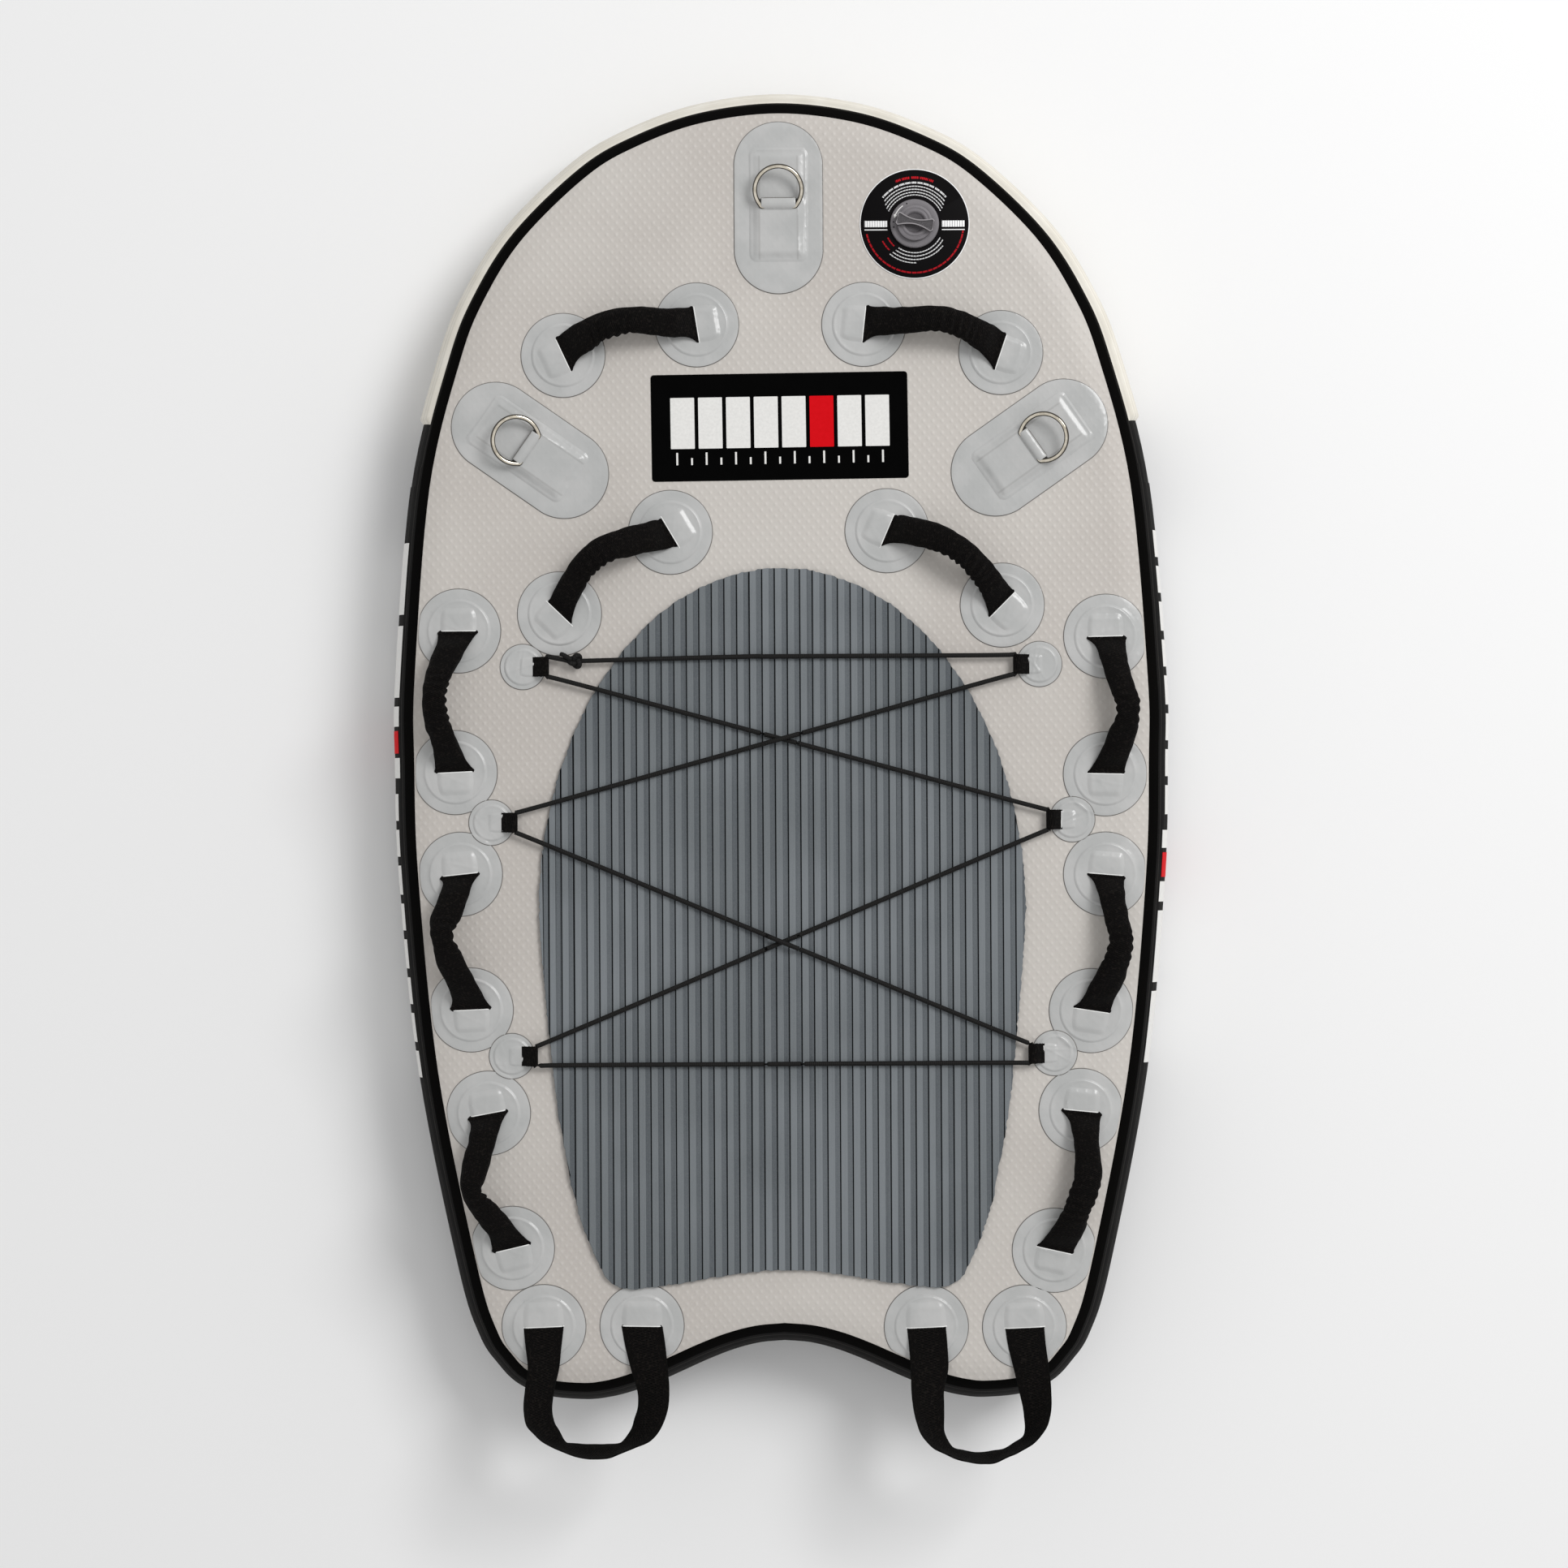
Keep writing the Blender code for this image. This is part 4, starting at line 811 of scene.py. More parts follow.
def pad_outline():
    """The pad's edge, in steps of about 4 mm, with the tremble of a knife."""
    half = []
    for k in range(24):
        angle = math.pi / 2 * (1 - k / 24)
        half.append(Vector((-PAD_HALF * math.cos(angle),
                            PAD_WIDEST + (PAD_NOSE - PAD_WIDEST) * math.sin(angle))))
    rear = [Vector((-a * PAD_HALF, PAD_WIDEST + b * (PAD_TAIL - PAD_WIDEST))) for a, b in PAD_SIDE]
    corner = PAD_CORNER * PAD_HALF
    for k in range(7):
        x = corner * (1 - k / 6)
        rear.append(Vector((-x, PAD_TAIL + PAD_NOTCH * (1 + math.cos(math.pi * x / corner)) / 2)))
    line = Line(half + through(rear, 6))
    count = int(line.length / KNIFE_STEP)
    left = [line.at(k / count) for k in range(count + 1)]
    whole = left + [Vector((-point.x, point.y)) for point in reversed(left[1:-1])]
    ragged = []
    for k, point in enumerate(whole):
        run = (whole[(k + 1) % len(whole)] - whole[k - 1]).normalized()
        shake = noise.noise(Vector((point.x, point.y, 0)) * 210) * 0.0018
        wander = noise.noise(Vector((point.x, point.y, 3)) * 45) * 0.0011
        ragged.append(point + Vector((run.y, -run.x)) * (shake + wander))
    return ragged


pad_edge = pad_outline()
print("pad outline", len(pad_edge), "corners")

# %% The pad's ribs
RIB_PITCH = 0.0163
GROOVE = 0.0016
HIGH_RIB = 0.0083
PAD_LEVELS = (0.0024, 0.0051, 0.0059)


def pull_up(height):
    """Extrude what is selected straight up."""
    bpy.ops.mesh.extrude_region_move(TRANSFORM_OT_translate={"value": (0, 0, height)})


pad = filled_circle("grooved_pad", len(pad_edge))
for corner, spot in zip(pad.data.vertices, pad_edge):
    corner.co = (spot.x, spot.y, DECK + PAD_FOOT)
open_up(pad)
marks = []
for k in range(-20, 21):
    left = (k - 0.5) * RIB_PITCH - GROOVE / 2
    marks += [left, left + GROOVE, left + GROOVE + HIGH_RIB]
for x in marks:
    bpy.ops.mesh.select_all(action="SELECT")
    bpy.ops.mesh.bisect(plane_co=(x, 0, 0), plane_no=(1, 0, 0))


def rib_share(face):
    """Where a face lies between one groove and the next, 0 to 1."""
    return ((middle(face).x + RIB_PITCH / 2 + GROOVE / 2) / RIB_PITCH) % 1


def raised(test, height):
    """Extrude the faces of the top that pass a test straight up."""
    pick(pad, "FACE", lambda face: abs(face.normal.z) > 0.9 and test(rib_share(face)))
    pull_up(height)


level = PAD_FOOT
floors = (lambda share: True, lambda share: share > 0.11, lambda share: 0.11 < share < 0.6)
for test, top in zip(floors, PAD_LEVELS):
    raised(test, top - level)
    level = top
tidy(pad)
print("pad", len(pad.data.polygons), "faces")

# %% Soften its edges
open_up(pad)
top_levels = [DECK + top for top in PAD_LEVELS[1:]]
edges = pick(pad, "EDGE", lambda edge: edge.is_manifold and edge.calc_face_angle() > 1
             and any(abs(middle(edge).z - top) < 0.00005 for top in top_levels))
bpy.ops.mesh.bevel(offset=0.0004, segments=1)
bpy.ops.object.mode_set(mode="OBJECT")
print("pad", edges, "edges softened,", len(pad.data.polygons), "faces")

# %% [markdown]
# ## Finish: foam
# The foam is one grey all through. What reads as stripes is depth, and its shade is painted: the
# groove's floor is painted nearly black as painted shade, the lower rib is painted darker than the
# raised one as painted shade, and fine pressed lines run along the lower rib. Height and place in
# the piece pick the tone.

# %% Grooved foam
pad_foam = Finish("pad_foam", Roughness=0.72, Specular_IOR_Level=0.2)
x, y, z = pad_foam.axes(pad_foam.place())
speckle = pad_foam.cloud(900, 1.0)
worn = pad_foam.cloud(5, 3.0)
fine_lines = x.waves(0.00135)
raised_tone = pad_foam.blend(worn.clear_of(0.35, 0.7), paint(110, 115, 118), paint(125, 130, 134))
shaded_lower_tone = pad_foam.blend(worn.clear_of(0.35, 0.7), paint(88, 93, 97), paint(101, 106, 110))
shaded_lower_tone = pad_foam.blend(fine_lines.clear_of(0.2, 1) * 0.25, shaded_lower_tone, paint(76, 80, 84))
# Painted shade: the lower rib darker than the raised one, and the groove floor nearly black.
tone = pad_foam.blend(z.clear_of(DECK + 0.0051, DECK + 0.0055), shaded_lower_tone, raised_tone)
tone = pad_foam.blend(z.clear_of(DECK + 0.0030, DECK + 0.0045), paint(34, 38, 40), tone)
pad_foam.set("Base Color", pad_foam.blend(speckle.clear_of(0.35, 0.75) * 0.16, tone,
                                          paint(140, 145, 148)))
pad_foam.relief(speckle * 0.7 + fine_lines * 0.2, 0.0005)
dress(pad, pad_foam, stands_for="deck_pad", crease=30)

# %% [markdown]
# ## Finish: clear-grey patches
# Every strap comes out of a welded patch of clear-grey PVC. It is thin enough for the deck's
# dots to print through, and glossier than the deck. A dark line of painted shade runs round its
# lowest edge, and the cut edge of its slit carries a painted highlight: both are stored at the
# corners as attributes.

# %% Welded patches
patch_pvc = Finish("patch_pvc", Specular_IOR_Level=0.5)
milky = patch_pvc.cloud(21, 3.0)
tone = patch_pvc.blend(milky.clear_of(0.3, 0.72), paint(176, 177, 176), paint(188, 188, 187))
# Painted shade: a dark line along each patch's lowest edge, the strap's edges and the slit's dip.
tone = patch_pvc.blend(patch_pvc.stored("painted_edge_shade") * 0.8, tone, paint(84, 78, 72))
# Painted highlight: the slit's rolled cut edge is painted near white.
tone = patch_pvc.blend(patch_pvc.stored("painted_slit_highlight") * 0.9, tone, paint(240, 240, 238))
patch_pvc.set("Base Color", tone)
patch_pvc.set("Roughness", 0.17 + milky * 0.14)
patch_pvc.relief(dots(patch_pvc) * 0.18 + patch_pvc.cloud(60, 2.0) * 0.4, 0.0007)

# %% [markdown]
# ## Round patches
# A patch is a disc with a thin flange and a raised middle, drawn by inset steps, each with a
# little rise. The pocket over the buried webbing is a small grid with a crown, open at the slit.
# Each kind is modelled once and then copied; each copy drapes over the rolled edge of the deck
# and, where asked, over what was laid before it.

# %% One flat patch
FLANGE = 0.0011
DISC_RISE = 0.0013
CUT_EDGE = ((0.0006, FLANGE * 0.05), (0.0002, FLANGE * 0.80), (0.0006, FLANGE * 0.15))


def mix(a, b, t):
    return a + (b - a) * t


def pocket_rule(length, width, rise):
    """A grid crowned like a pocket, open and high at u = 1 where the slit is."""
    def place(u, v):
        x = length * (u - 1)
        side = abs(2 * v - 1)
        narrowing = mix(0.88, 1.0, ease(u, 0.0, 0.6))
        y = width / 2 * (2 * v - 1) * narrowing
        crown = ease(u, 0, 0.3) * ease(1 - side, 0, 0.26) * (1 - 0.10 * side ** 2)
        sag = 0.0004 * math.sin(math.pi * u) * (1 - side ** 2)
        return Vector((x, y, FLANGE + DISC_RISE - 0.0002 + rise * crown - sag))
    return place


def lip_rule(width, rise):
    """The slit's cut edge: a thin rolled strip."""
    def place(u, v):
        angle = math.pi * u
        y = width / 2 * (2 * v - 1)
        fall = ease(1 - abs(2 * v - 1), 0, 0.22)
        high = FLANGE + DISC_RISE - 0.0006 + rise * fall
        return Vector((0.0001 - 0.0007 * math.cos(angle), y, high + 0.0006 * math.sin(angle)))
    return place


def mark(piece, name, test):
    """Store a 1 at each corner whose place passes a test, for the piece's finish to read."""
    values = piece.data.attributes.new(name, "FLOAT", "POINT")
    values.data.foreach_set("value", [float(test(corner.co)) for corner in piece.data.vertices])


def in_painted_edge_shade(place):
    """The lowest edge of a patch, which is painted dark as shade."""
    return place.z < FLANGE * 0.9


def flat_patch(name, radius, disc, pocket, slit=0.0):
    """A round patch on z = 0 whose slit runs along Y at x = slit and opens towards +X."""
    patch = filled_circle(name, 84, radius)
    open_up(patch)
    steps = [*CUT_EDGE, *[((radius - disc - 0.0014) / 3, 0)] * 3]
    steps += [(0.0007, DISC_RISE * 0.30), (0.0008, DISC_RISE * 0.45), (0.0008, DISC_RISE * 0.35)]
    steps += [(0.0008, 0.0002), (0.0009, -0.0001), (0.0012, -DISC_RISE * 0.20)]
    flat = disc - 0.0052 - 0.003
    rings = int(flat / 0.0026)
    steps += [(flat / rings, 0)] * rings
    for inwards, rise in steps:
        bpy.ops.mesh.inset(thickness=inwards, depth=rise)
    bpy.ops.mesh.poke()
    bpy.ops.object.mode_set(mode="OBJECT")
    # The lowest edge takes a painted line of shade.
    mark(patch, "painted_edge_shade", in_painted_edge_shade)
    length, width, rise = pocket
    flap = wrapped(name + "_pocket", 18, 20, pocket_rule(length, width, rise))
    lip = wrapped(name + "_lip", 6, 20, lip_rule(width, rise))
    # The whole lip takes a painted highlight.
    mark(lip, "painted_slit_highlight", lambda place: True)
    for piece in (flap, lip):
        piece.data.transform(Matrix.Translation((slit, 0, 0)))
    take(flap, lip, patch)
    bpy.ops.object.join()
    return patch

# %% Lay it on the deck
LAID = []
CREASES = 4
TRIM = 0.0325
TRIM_SPREAD = 0.0030
GRIP_PATCH = 0.055
PATCH_DISC = 0.0415


def copy_of(piece, name):
    """A copy with a mesh of its own."""
    twin = piece.copy()
    twin.data = piece.data.copy()
    twin.name = name
    twin.data.name = name
    bpy.context.scene.collection.objects.link(twin)
    return twin


def placed(spot, turn, height=0):
    """The move that turns a thing flat on and carries it to its spot."""
    return Matrix.Translation((spot[0], spot[1], height)) @ Matrix.Rotation(turn, 4, "Z")


def crease(x, y, seed):
    """A few soft folds across a patch, each its own way."""
    rise = 0
    for k in range(CREASES):
        turn = 6.3 * noise.noise(Vector((seed * 3.1, k * 1.7, 0.5)))
        off = 0.034 * noise.noise(Vector((seed * 1.3, k * 2.9, 4.5)))
        away = x * math.cos(turn) + y * math.sin(turn) - off
        along = y * math.cos(turn) - x * math.sin(turn)
        length = 0.016 + 0.02 * abs(noise.noise(Vector((seed, k, 9.5))))
        rise += 0.00042 * math.exp(-(away / 0.0014) ** 2 - (along / length) ** 4)
    return rise


def lay(model, name, spot, turn, radius, stands_for, over=False):
    """Copy a flat patch onto the deck, turned; it drapes, and may climb over what lies there."""
    patch = copy_of(model, name)
    seed = spot[0] * 17 + spot[1] * 5
    place = placed(spot, turn)
    for corner in patch.data.vertices:
        away = corner.co.to_2d().length
        fold = crease(corner.co.x, corner.co.y, seed) * ease(radius - away, 0.001, 0.006)
        there = place @ corner.co
        climb = 0
        if over:
            for centre, reach in LAID:
                gap = reach - (there.to_2d() - centre).length
                climb = max(climb, FLANGE * 1.1 * ease(gap, -0.001, 0.0025))
        spot_on_edge, _, inset = near_edge.find((there.x, there.y, 0))
        if inset < TRIM + TRIM_SPREAD:
            squeezed = TRIM + TRIM_SPREAD * math.exp((inset - TRIM - TRIM_SPREAD) / TRIM_SPREAD)
            there.xy = spot_on_edge.xy + (there.xy - spot_on_edge.xy) * squeezed / inset
        there.z += DECK + 0.0002 + fold + climb - deck_drop(there.x, there.y)
        corner.co = there
    LAID.append((Vector(spot[:2]), radius))
    dress(patch, patch_pvc, stands_for=stands_for, crease=28)


grip_patch = flat_patch("grip_patch", GRIP_PATCH, PATCH_DISC, (0.031, 0.048, 0.0028))
tail_patch = flat_patch("tail_patch", GRIP_PATCH, PATCH_DISC, (0.034, 0.0535, 0.0028))
print("one patch", len(grip_patch.data.polygons), "faces")

# %% [markdown]
# ## Finish: black webbing
# Webbing is ribbed: the sleeves of the grips have fine ribs across them, the tail loops have
# them lengthwise. The pattern reads the UV map, which is in metres along and across each strap,
# so it follows every bend.

# %% Black webbing
def webbing(name, along_pitch, across_pitch, depth):
    """Black cloth with ribs along and across at the given pitches, in metres."""
    finish = Finish(name, Roughness=0.8, Specular_IOR_Level=0.05, Sheen_Weight=0.015,
                    Sheen_Roughness=0.5)
    along, across = finish.map()
    fluff = finish.cloud(330, 3.0)
    weave = (along.waves(along_pitch) * across.waves(across_pitch) + 1) * 0.5
    tone = finish.blend(weave, paint(0, 0, 0), paint(18, 16, 15))
    lint = fluff.clear_of(0.5, 0.72) * 0.5
    finish.set("Base Color", finish.blend(lint, tone, paint(38, 34, 31)))
    finish.relief(weave * 0.7 + fluff * 0.4, depth)
    return finish


sleeve_cloth = webbing("sleeve_cloth", 0.0021, 0.0050, 0.0011)
strap_cloth = webbing("strap_cloth", 0.0034, 0.0021, 0.0009)
print("two webbings")

# %% [markdown]
# ## The grips
# Each grip is a padded sleeve on webbing that comes flat out of one slit, arches up, and goes
# down into another. No two lie quite alike: some bow in a round arc and some fold sharply. So
# the two edges of each sleeve were measured on the photograph, at ten places from slit to slit,
# and the sleeve is a grid rolled into a tube between them, puckered where the fold squeezes it.

# %% The edges of the sleeves, from above
# Outer x and y, then inner x and y, in millimetres.
GRIP_EDGES = {
    "front_left": (
        (-110, 566, -103, 522), (-121, 565, -119, 527), (-142, 563, -143, 526),
        (-164, 563, -167, 528), (-187, 563, -190, 529), (-208, 561, -211, 524),
        (-229, 557, -226, 520), (-250, 550, -241, 510), (-271, 540, -258, 501),
        (-289, 526, -270, 485)),
    "front_right": (
        (112, 566, 107, 521), (126, 565, 124, 527), (146, 563, 147, 528), (169, 562, 169, 528),
        (193, 562, 190, 529), (214, 561, 210, 528), (238, 555, 229, 522), (258, 548, 247, 513),
        (277, 540, 263, 502), (294, 528, 279, 484)),
    "middle_left": (
        (-152, 293, -132, 259), (-164, 291, -150, 253), (-184, 285, -173, 249),
        (-205, 279, -193, 243), (-227, 270, -212, 238), (-247, 259, -229, 228),
        (-264, 243, -243, 216), (-278, 224, -254, 200), (-291, 204, -264, 182),
        (-300, 185, -272, 158)),
    "middle_right": (
        (146, 295, 130, 258), (158, 296, 148, 260), (178, 291, 171, 256), (202, 284, 191, 250),
        (225, 272, 211, 241), (246, 257, 228, 229), (263, 242, 241, 216), (278, 225, 252, 203),
        (292, 208, 262, 187), (302, 195, 271, 164)),
    "fore_left": (
        (-441, 150, -392, 150), (-444, 134, -402, 133), (-451, 114, -413, 112),
        (-457, 92, -423, 91), (-460, 71, -428, 70), (-460, 50, -428, 50), (-458, 28, -424, 28),
        (-451, 7, -417, 6), (-448, -15, -408, -15), (-446, -34, -398, -32)),
    "fore_right": (
        (444, 139, 396, 138), (445, 126, 406, 125), (447, 105, 413, 104), (452, 80, 419, 82),
        (460, 55, 427, 55), (460, 35, 429, 37), (457, 14, 421, 15), (451, -6, 414, -5),
        (446, -23, 406, -21), (441, -40, 396, -39)),
    "centre_left": (
        (-440, -167, -392, -162), (-438, -178, -400, -178), (-445, -199, -407, -201),
        (-452, -219, -414, -223), (-452, -237, -422, -239), (-448, -258, -414, -261),
        (-443, -282, -405, -282), (-433, -303, -395, -303), (-427, -325, -385, -324),
        (-428, -341, -378, -339)),
    "centre_right": (
        (441, -171, 395, -167), (441, -181, 403, -181), (442, -201, 409, -203),
        (445, -226, 414, -226), (450, -248, 418, -248), (449, -267, 415, -266),
        (444, -288, 408, -286), (438, -309, 397, -308), (428, -330, 386, -330),
        (421, -349, 376, -342)),
    "aft_left": (
        (-406, -478, -357, -469), (-404, -489, -365, -488), (-406, -508, -371, -510),
        (-412, -531, -377, -534), (-415, -556, -384, -557), (-413, -574, -388, -568),
        (-405, -594, -377, -582), (-394, -612, -362, -599), (-381, -632, -346, -622),
        (-375, -654, -328, -643)),
    "aft_right": (
        (409, -477, 360, -472), (408, -490, 369, -488), (406, -510, 373, -509),
        (407, -533, 374, -532), (408, -558, 372, -555), (402, -583, 365, -577),
        (393, -605, 357, -601), (387, -627, 346, -623), (378, -646, 335, -639),
        (371, -660, 327, -650)),
}
# Millimetres over the deck, from a slit to the top of the arch.
GRIP_RISES = (1.9, 2.7, 4.2, 11.0, 23.0, 33.0, 40.5)
# Where a sleeve folds (share of its length), how widely (m), and the squeeze inside and outside.
FOLDS = {
    "front_left": (0.60, 0.036, 0.0017, 0.0), "front_right": (0.60, 0.036, 0.0010, 0.0),
    "middle_left": (0.56, 0.032, 0.0018, 0.0), "middle_right": (0.60, 0.050, 0.0020, 0.0),
    "fore_left": (0.50, 0.034, 0.0021, 0.0), "fore_right": (0.53, 0.020, 0.0014, 0.0018),
    "centre_left": (0.44, 0.024, 0.0018, 0.0005), "centre_right": (0.52, 0.024, 0.0014, 0.0018),
    "aft_left": (0.58, 0.013, 0.0026, 0.0), "aft_right": (0.60, 0.030, 0.0010, 0.0018),
}
print(len(GRIP_EDGES), "grips")

# %% A strap between its edges
def along_table(table, share):
    """A value between the entries of a table."""
    spot = share * (len(table) - 1)
    low = min(int(spot), len(table) - 2)
    return mix(table[low], table[low + 1], spot - low)


class Ribbon:
    """A strap between two edges, each given in millimetres as seen from above."""

    def __init__(self, edges, rises, lifts=(0, 0)):
        outer, inner = [], []
        last = len(edges) - 1
        for k, (outer_x, outer_y, inner_x, inner_y) in enumerate(edges):
            share = min(k, last - k) * 2 / last
            height = DECK * 1000 + along_table(rises, share)
            lift = along_table(lifts, share)
            outer.append(Vector((outer_x, outer_y, height + lift)) / 1000)
            inner.append(Vector((inner_x, inner_y, height - lift)) / 1000)
        self.outer, self.inner = through(outer, 8), through(inner, 8)
        self.line = Line([a.lerp(b, 0.5) for a, b in zip(self.outer, self.inner)])

    def at(self, share):
        """The middle, and the step from there to the outer edge."""
        low, onwards = self.line.step(share)
        outer = self.outer[low].lerp(self.outer[low + 1], onwards)
        inner = self.inner[low].lerp(self.inner[low + 1], onwards)
        return (outer + inner) / 2, (outer - inner) / 2

# %% The skin of a sleeve
SLEEVE_DEPTH = 0.0185
PUCKER_PITCH = 0.0115
COLLAR = 0.070
IN_POCKET = 0.003


def fuller(wave, power):
    """A sine or cosine drawn out towards 1, its sign kept: it makes a round section boxy."""
    return math.copysign(abs(wave) ** power, wave)


def sleeve_rule(ribbon, fold, seed):
    """Places on a sleeve: flat at the slits, full between them, and puckered at the fold."""
    where, spread, squeeze_in, squeeze_out = fold
    length = ribbon.line.length

    def place(share, around):
        middle_spot, half = ribbon.at(share)
        way = ribbon.line.way(share)
        over = way.cross(half).normalized()
        if over.z < 0:
            over.negate()
        from_slit = min(share, 1 - share) * length - IN_POCKET
        full = ease(from_slit, 0.003, 0.034)
        depth = mix(0.0010, SLEEVE_DEPTH / 2, full)
        angle = 2 * math.pi * around
        power = mix(1.0, 0.82, full)
        across = fuller(math.cos(angle), power)
        rise = fuller(math.sin(angle), power)
        run = (share - where) * length
        near = math.exp(-(run / spread) ** 4)
        wobble = 1.6 * noise.noise(Vector((share * 9, seed, 0)))
        ripple = (0.5 - 0.5 * math.cos(2 * math.pi * run / PUCKER_PITCH + wobble)) ** 1.4
        sharp = 1 if across > 0 else 1.5
        pucker = near * ripple * (squeeze_out if across > 0 else squeeze_in) * abs(across) * sharp
        wrinkle = (0.0012 - 0.0008 * across) * near * full * (2 * ripple - 1)
        fabric = Vector((share * 16, math.cos(angle) * 2, math.sin(angle) * 2 + seed))
        quilt = 0.0011 * noise.noise(fabric) * full
        tuck = 0.0016 * math.exp(-((from_slit - 0.0030) / 0.0022) ** 2)
        reach = 1 + (quilt + tuck - pucker) / half.length
        return middle_spot + half * across * reach + over * rise * (depth + wrinkle + quilt + tuck)
    return place

# %% Sew the ten grips
def pocketed(edges):
    """The edges, with a row under the pocket and a roll just out of the slit at both ends."""
    rows = [Vector(row) for row in edges]
    for _ in range(2):
        first = rows[0]
        middle_spot = (first.xy + first.zw) / 2
        onwards = ((rows[1].xy + rows[1].zw) / 2 - middle_spot).normalized()
        under = [spot.lerp(middle_spot, 0.14) - onwards * 3 for spot in (first.xy, first.zw)]
        roll = [spot + onwards * 4.5 for spot in (first.xy, first.zw)]
        rows[:1] = [Vector((*under[0], *under[1])), first, Vector((*roll[0], *roll[1]))]
        rows.reverse()
    return rows


def slit_middle(row):
    """The middle of a slit, in metres, from its row in the table."""
    return Vector(((row[0] + row[2]) / 2000, (row[1] + row[3]) / 2000))


def slit_turn(row, goal):
    """The turn of a patch whose strap leaves its slit towards a goal."""
    normal = Vector((row[3] - row[1], row[0] - row[2]))
    if normal.dot(Vector(goal) - slit_middle(row)) < 0:
        normal.negate()
    return math.atan2(normal.y, normal.x)


def make_grip(name, edges):
    """One grip: two patches, two collars, and the sleeve between."""
    body = "grip_" + name
    ribbon = Ribbon(pocketed(edges), GRIP_RISES)
    length = ribbon.line.length
    rule = sleeve_rule(ribbon, FOLDS[name], edges[0][0] * 0.013 + edges[0][1] * 0.007)
    cut = COLLAR / length
    tucked = cut * 1.04
    pieces = (("sleeve", cut, 1 - cut), ("collar_a", 0, tucked), ("collar_b", 1 - tucked, 1))
    made = {}
    for word, low, high in pieces:
        piece = wrapped(f"{body}_{word}", int(110 * (high - low)) + 4, 32,
                        lambda u, v: rule(mix(low, high, u), v), (length * (high - low), 0.088))
        tidy(piece)
        made[word] = coat(smooth(piece, 60), sleeve_cloth)
    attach(made["sleeve"], body)
    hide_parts(body)
    for which, row, far_row in (("a", edges[0], edges[-1]), ("b", edges[-1], edges[0])):
        spot, other = slit_middle(row), slit_middle(far_row)
        lay(grip_patch, f"welded_patch_{name}_{which}", spot, slit_turn(row, other), GRIP_PATCH,
            f"patch_{name}_{which}")
        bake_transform(made["collar_" + which])
    return length


for name, edges in GRIP_EDGES.items():
    print(name, round(make_grip(name, edges), 4), "m from slit to slit")

# %% [markdown]
# ## The tail loops
# Each loop is one length of flat webbing. It leaves two patches lying flat, turns up onto its
# edge behind the tail, and comes back. Both edges are measured on the photograph again, and the
# lift says how far the outer edge stands over the inner one.

# %% The edges of the loops, from above
LOOP_EDGES = {
    "left": (
        (-337, -751, -286, -749), (-335, -776, -289, -778), (-332, -803, -292, -805),
        (-336, -829, -299, -832), (-338, -851, -303, -855), (-335, -871, -300, -875),
        (-326, -883, -295, -885), (-312, -896, -286, -901), (-281, -910, -278, -905),
        (-262, -916, -264, -906), (-247, -918, -249, -907), (-229, -917, -232, -906),
        (-212, -911, -216, -906), (-192, -903, -208, -901), (-172, -894, -198, -886),
        (-158, -877, -193, -871), (-149, -852, -189, -854), (-148, -830, -190, -833),
        (-151, -804, -199, -805), (-154, -777, -206, -777), (-158, -750, -211, -749)),
    "right": (
        (158, -754, 208, -752), (160, -775, 210, -776), (162, -806, 211, -807),
        (162, -832, 205, -835), (163, -852, 204, -856), (167, -872, 203, -878),
        (173, -889, 204, -892), (186, -904, 210, -905), (202, -913, 217, -913),
        (221, -921, 228, -917), (240, -925, 242, -919), (255, -926, 258, -919),
        (269, -925, 271, -918), (287, -917, 285, -915), (301, -911, 297, -908),
        (322, -899, 309, -898), (336, -883, 312, -886), (342, -866, 311, -870),
        (344, -850, 308, -854), (343, -827, 301, -829), (340, -800, 294, -802),
        (337, -776, 288, -776), (335, -753, 285, -755)),
}
LOOP_RISES = (3.0, 4.5, 7.5, 11.0, 13.0, 14.0, 15.0, 15.0, 15.0, 15.0, 15.0)
LOOP_LIFTS = (0.0, 1.0, 4.0, 8.0, 13.0, 16.0, 18.0, 20.0, 22.5, 22.5, 22.5)
LOOP_CENTRE = 0.2480
LOOP_THICKNESS = 0.0028


def strap_rule(ribbon, thickness, seed):
    """Places on a flat strap with rounded edges and a little cup and ripple."""
    def place(share, around):
        middle_spot, half = ribbon.at(share)
        over = ribbon.line.way(share, 0.006).cross(half).normalized()
        angle = 2 * math.pi * around
        across = fuller(math.cos(angle), 0.35)
        face = fuller(math.sin(angle), 0.8)
        loose = ease(min(share, 1 - share), 0.04, 0.16)
        ripple = 0.0012 * noise.noise(Vector((share * 22, across * 1.5, seed))) * loose
        cup = 0.0030 * across ** 2 * ease(min(share, 1 - share), 0.1, 0.25)
        return middle_spot + half * across + over * (face * thickness / 2 + ripple - cup)
    return place


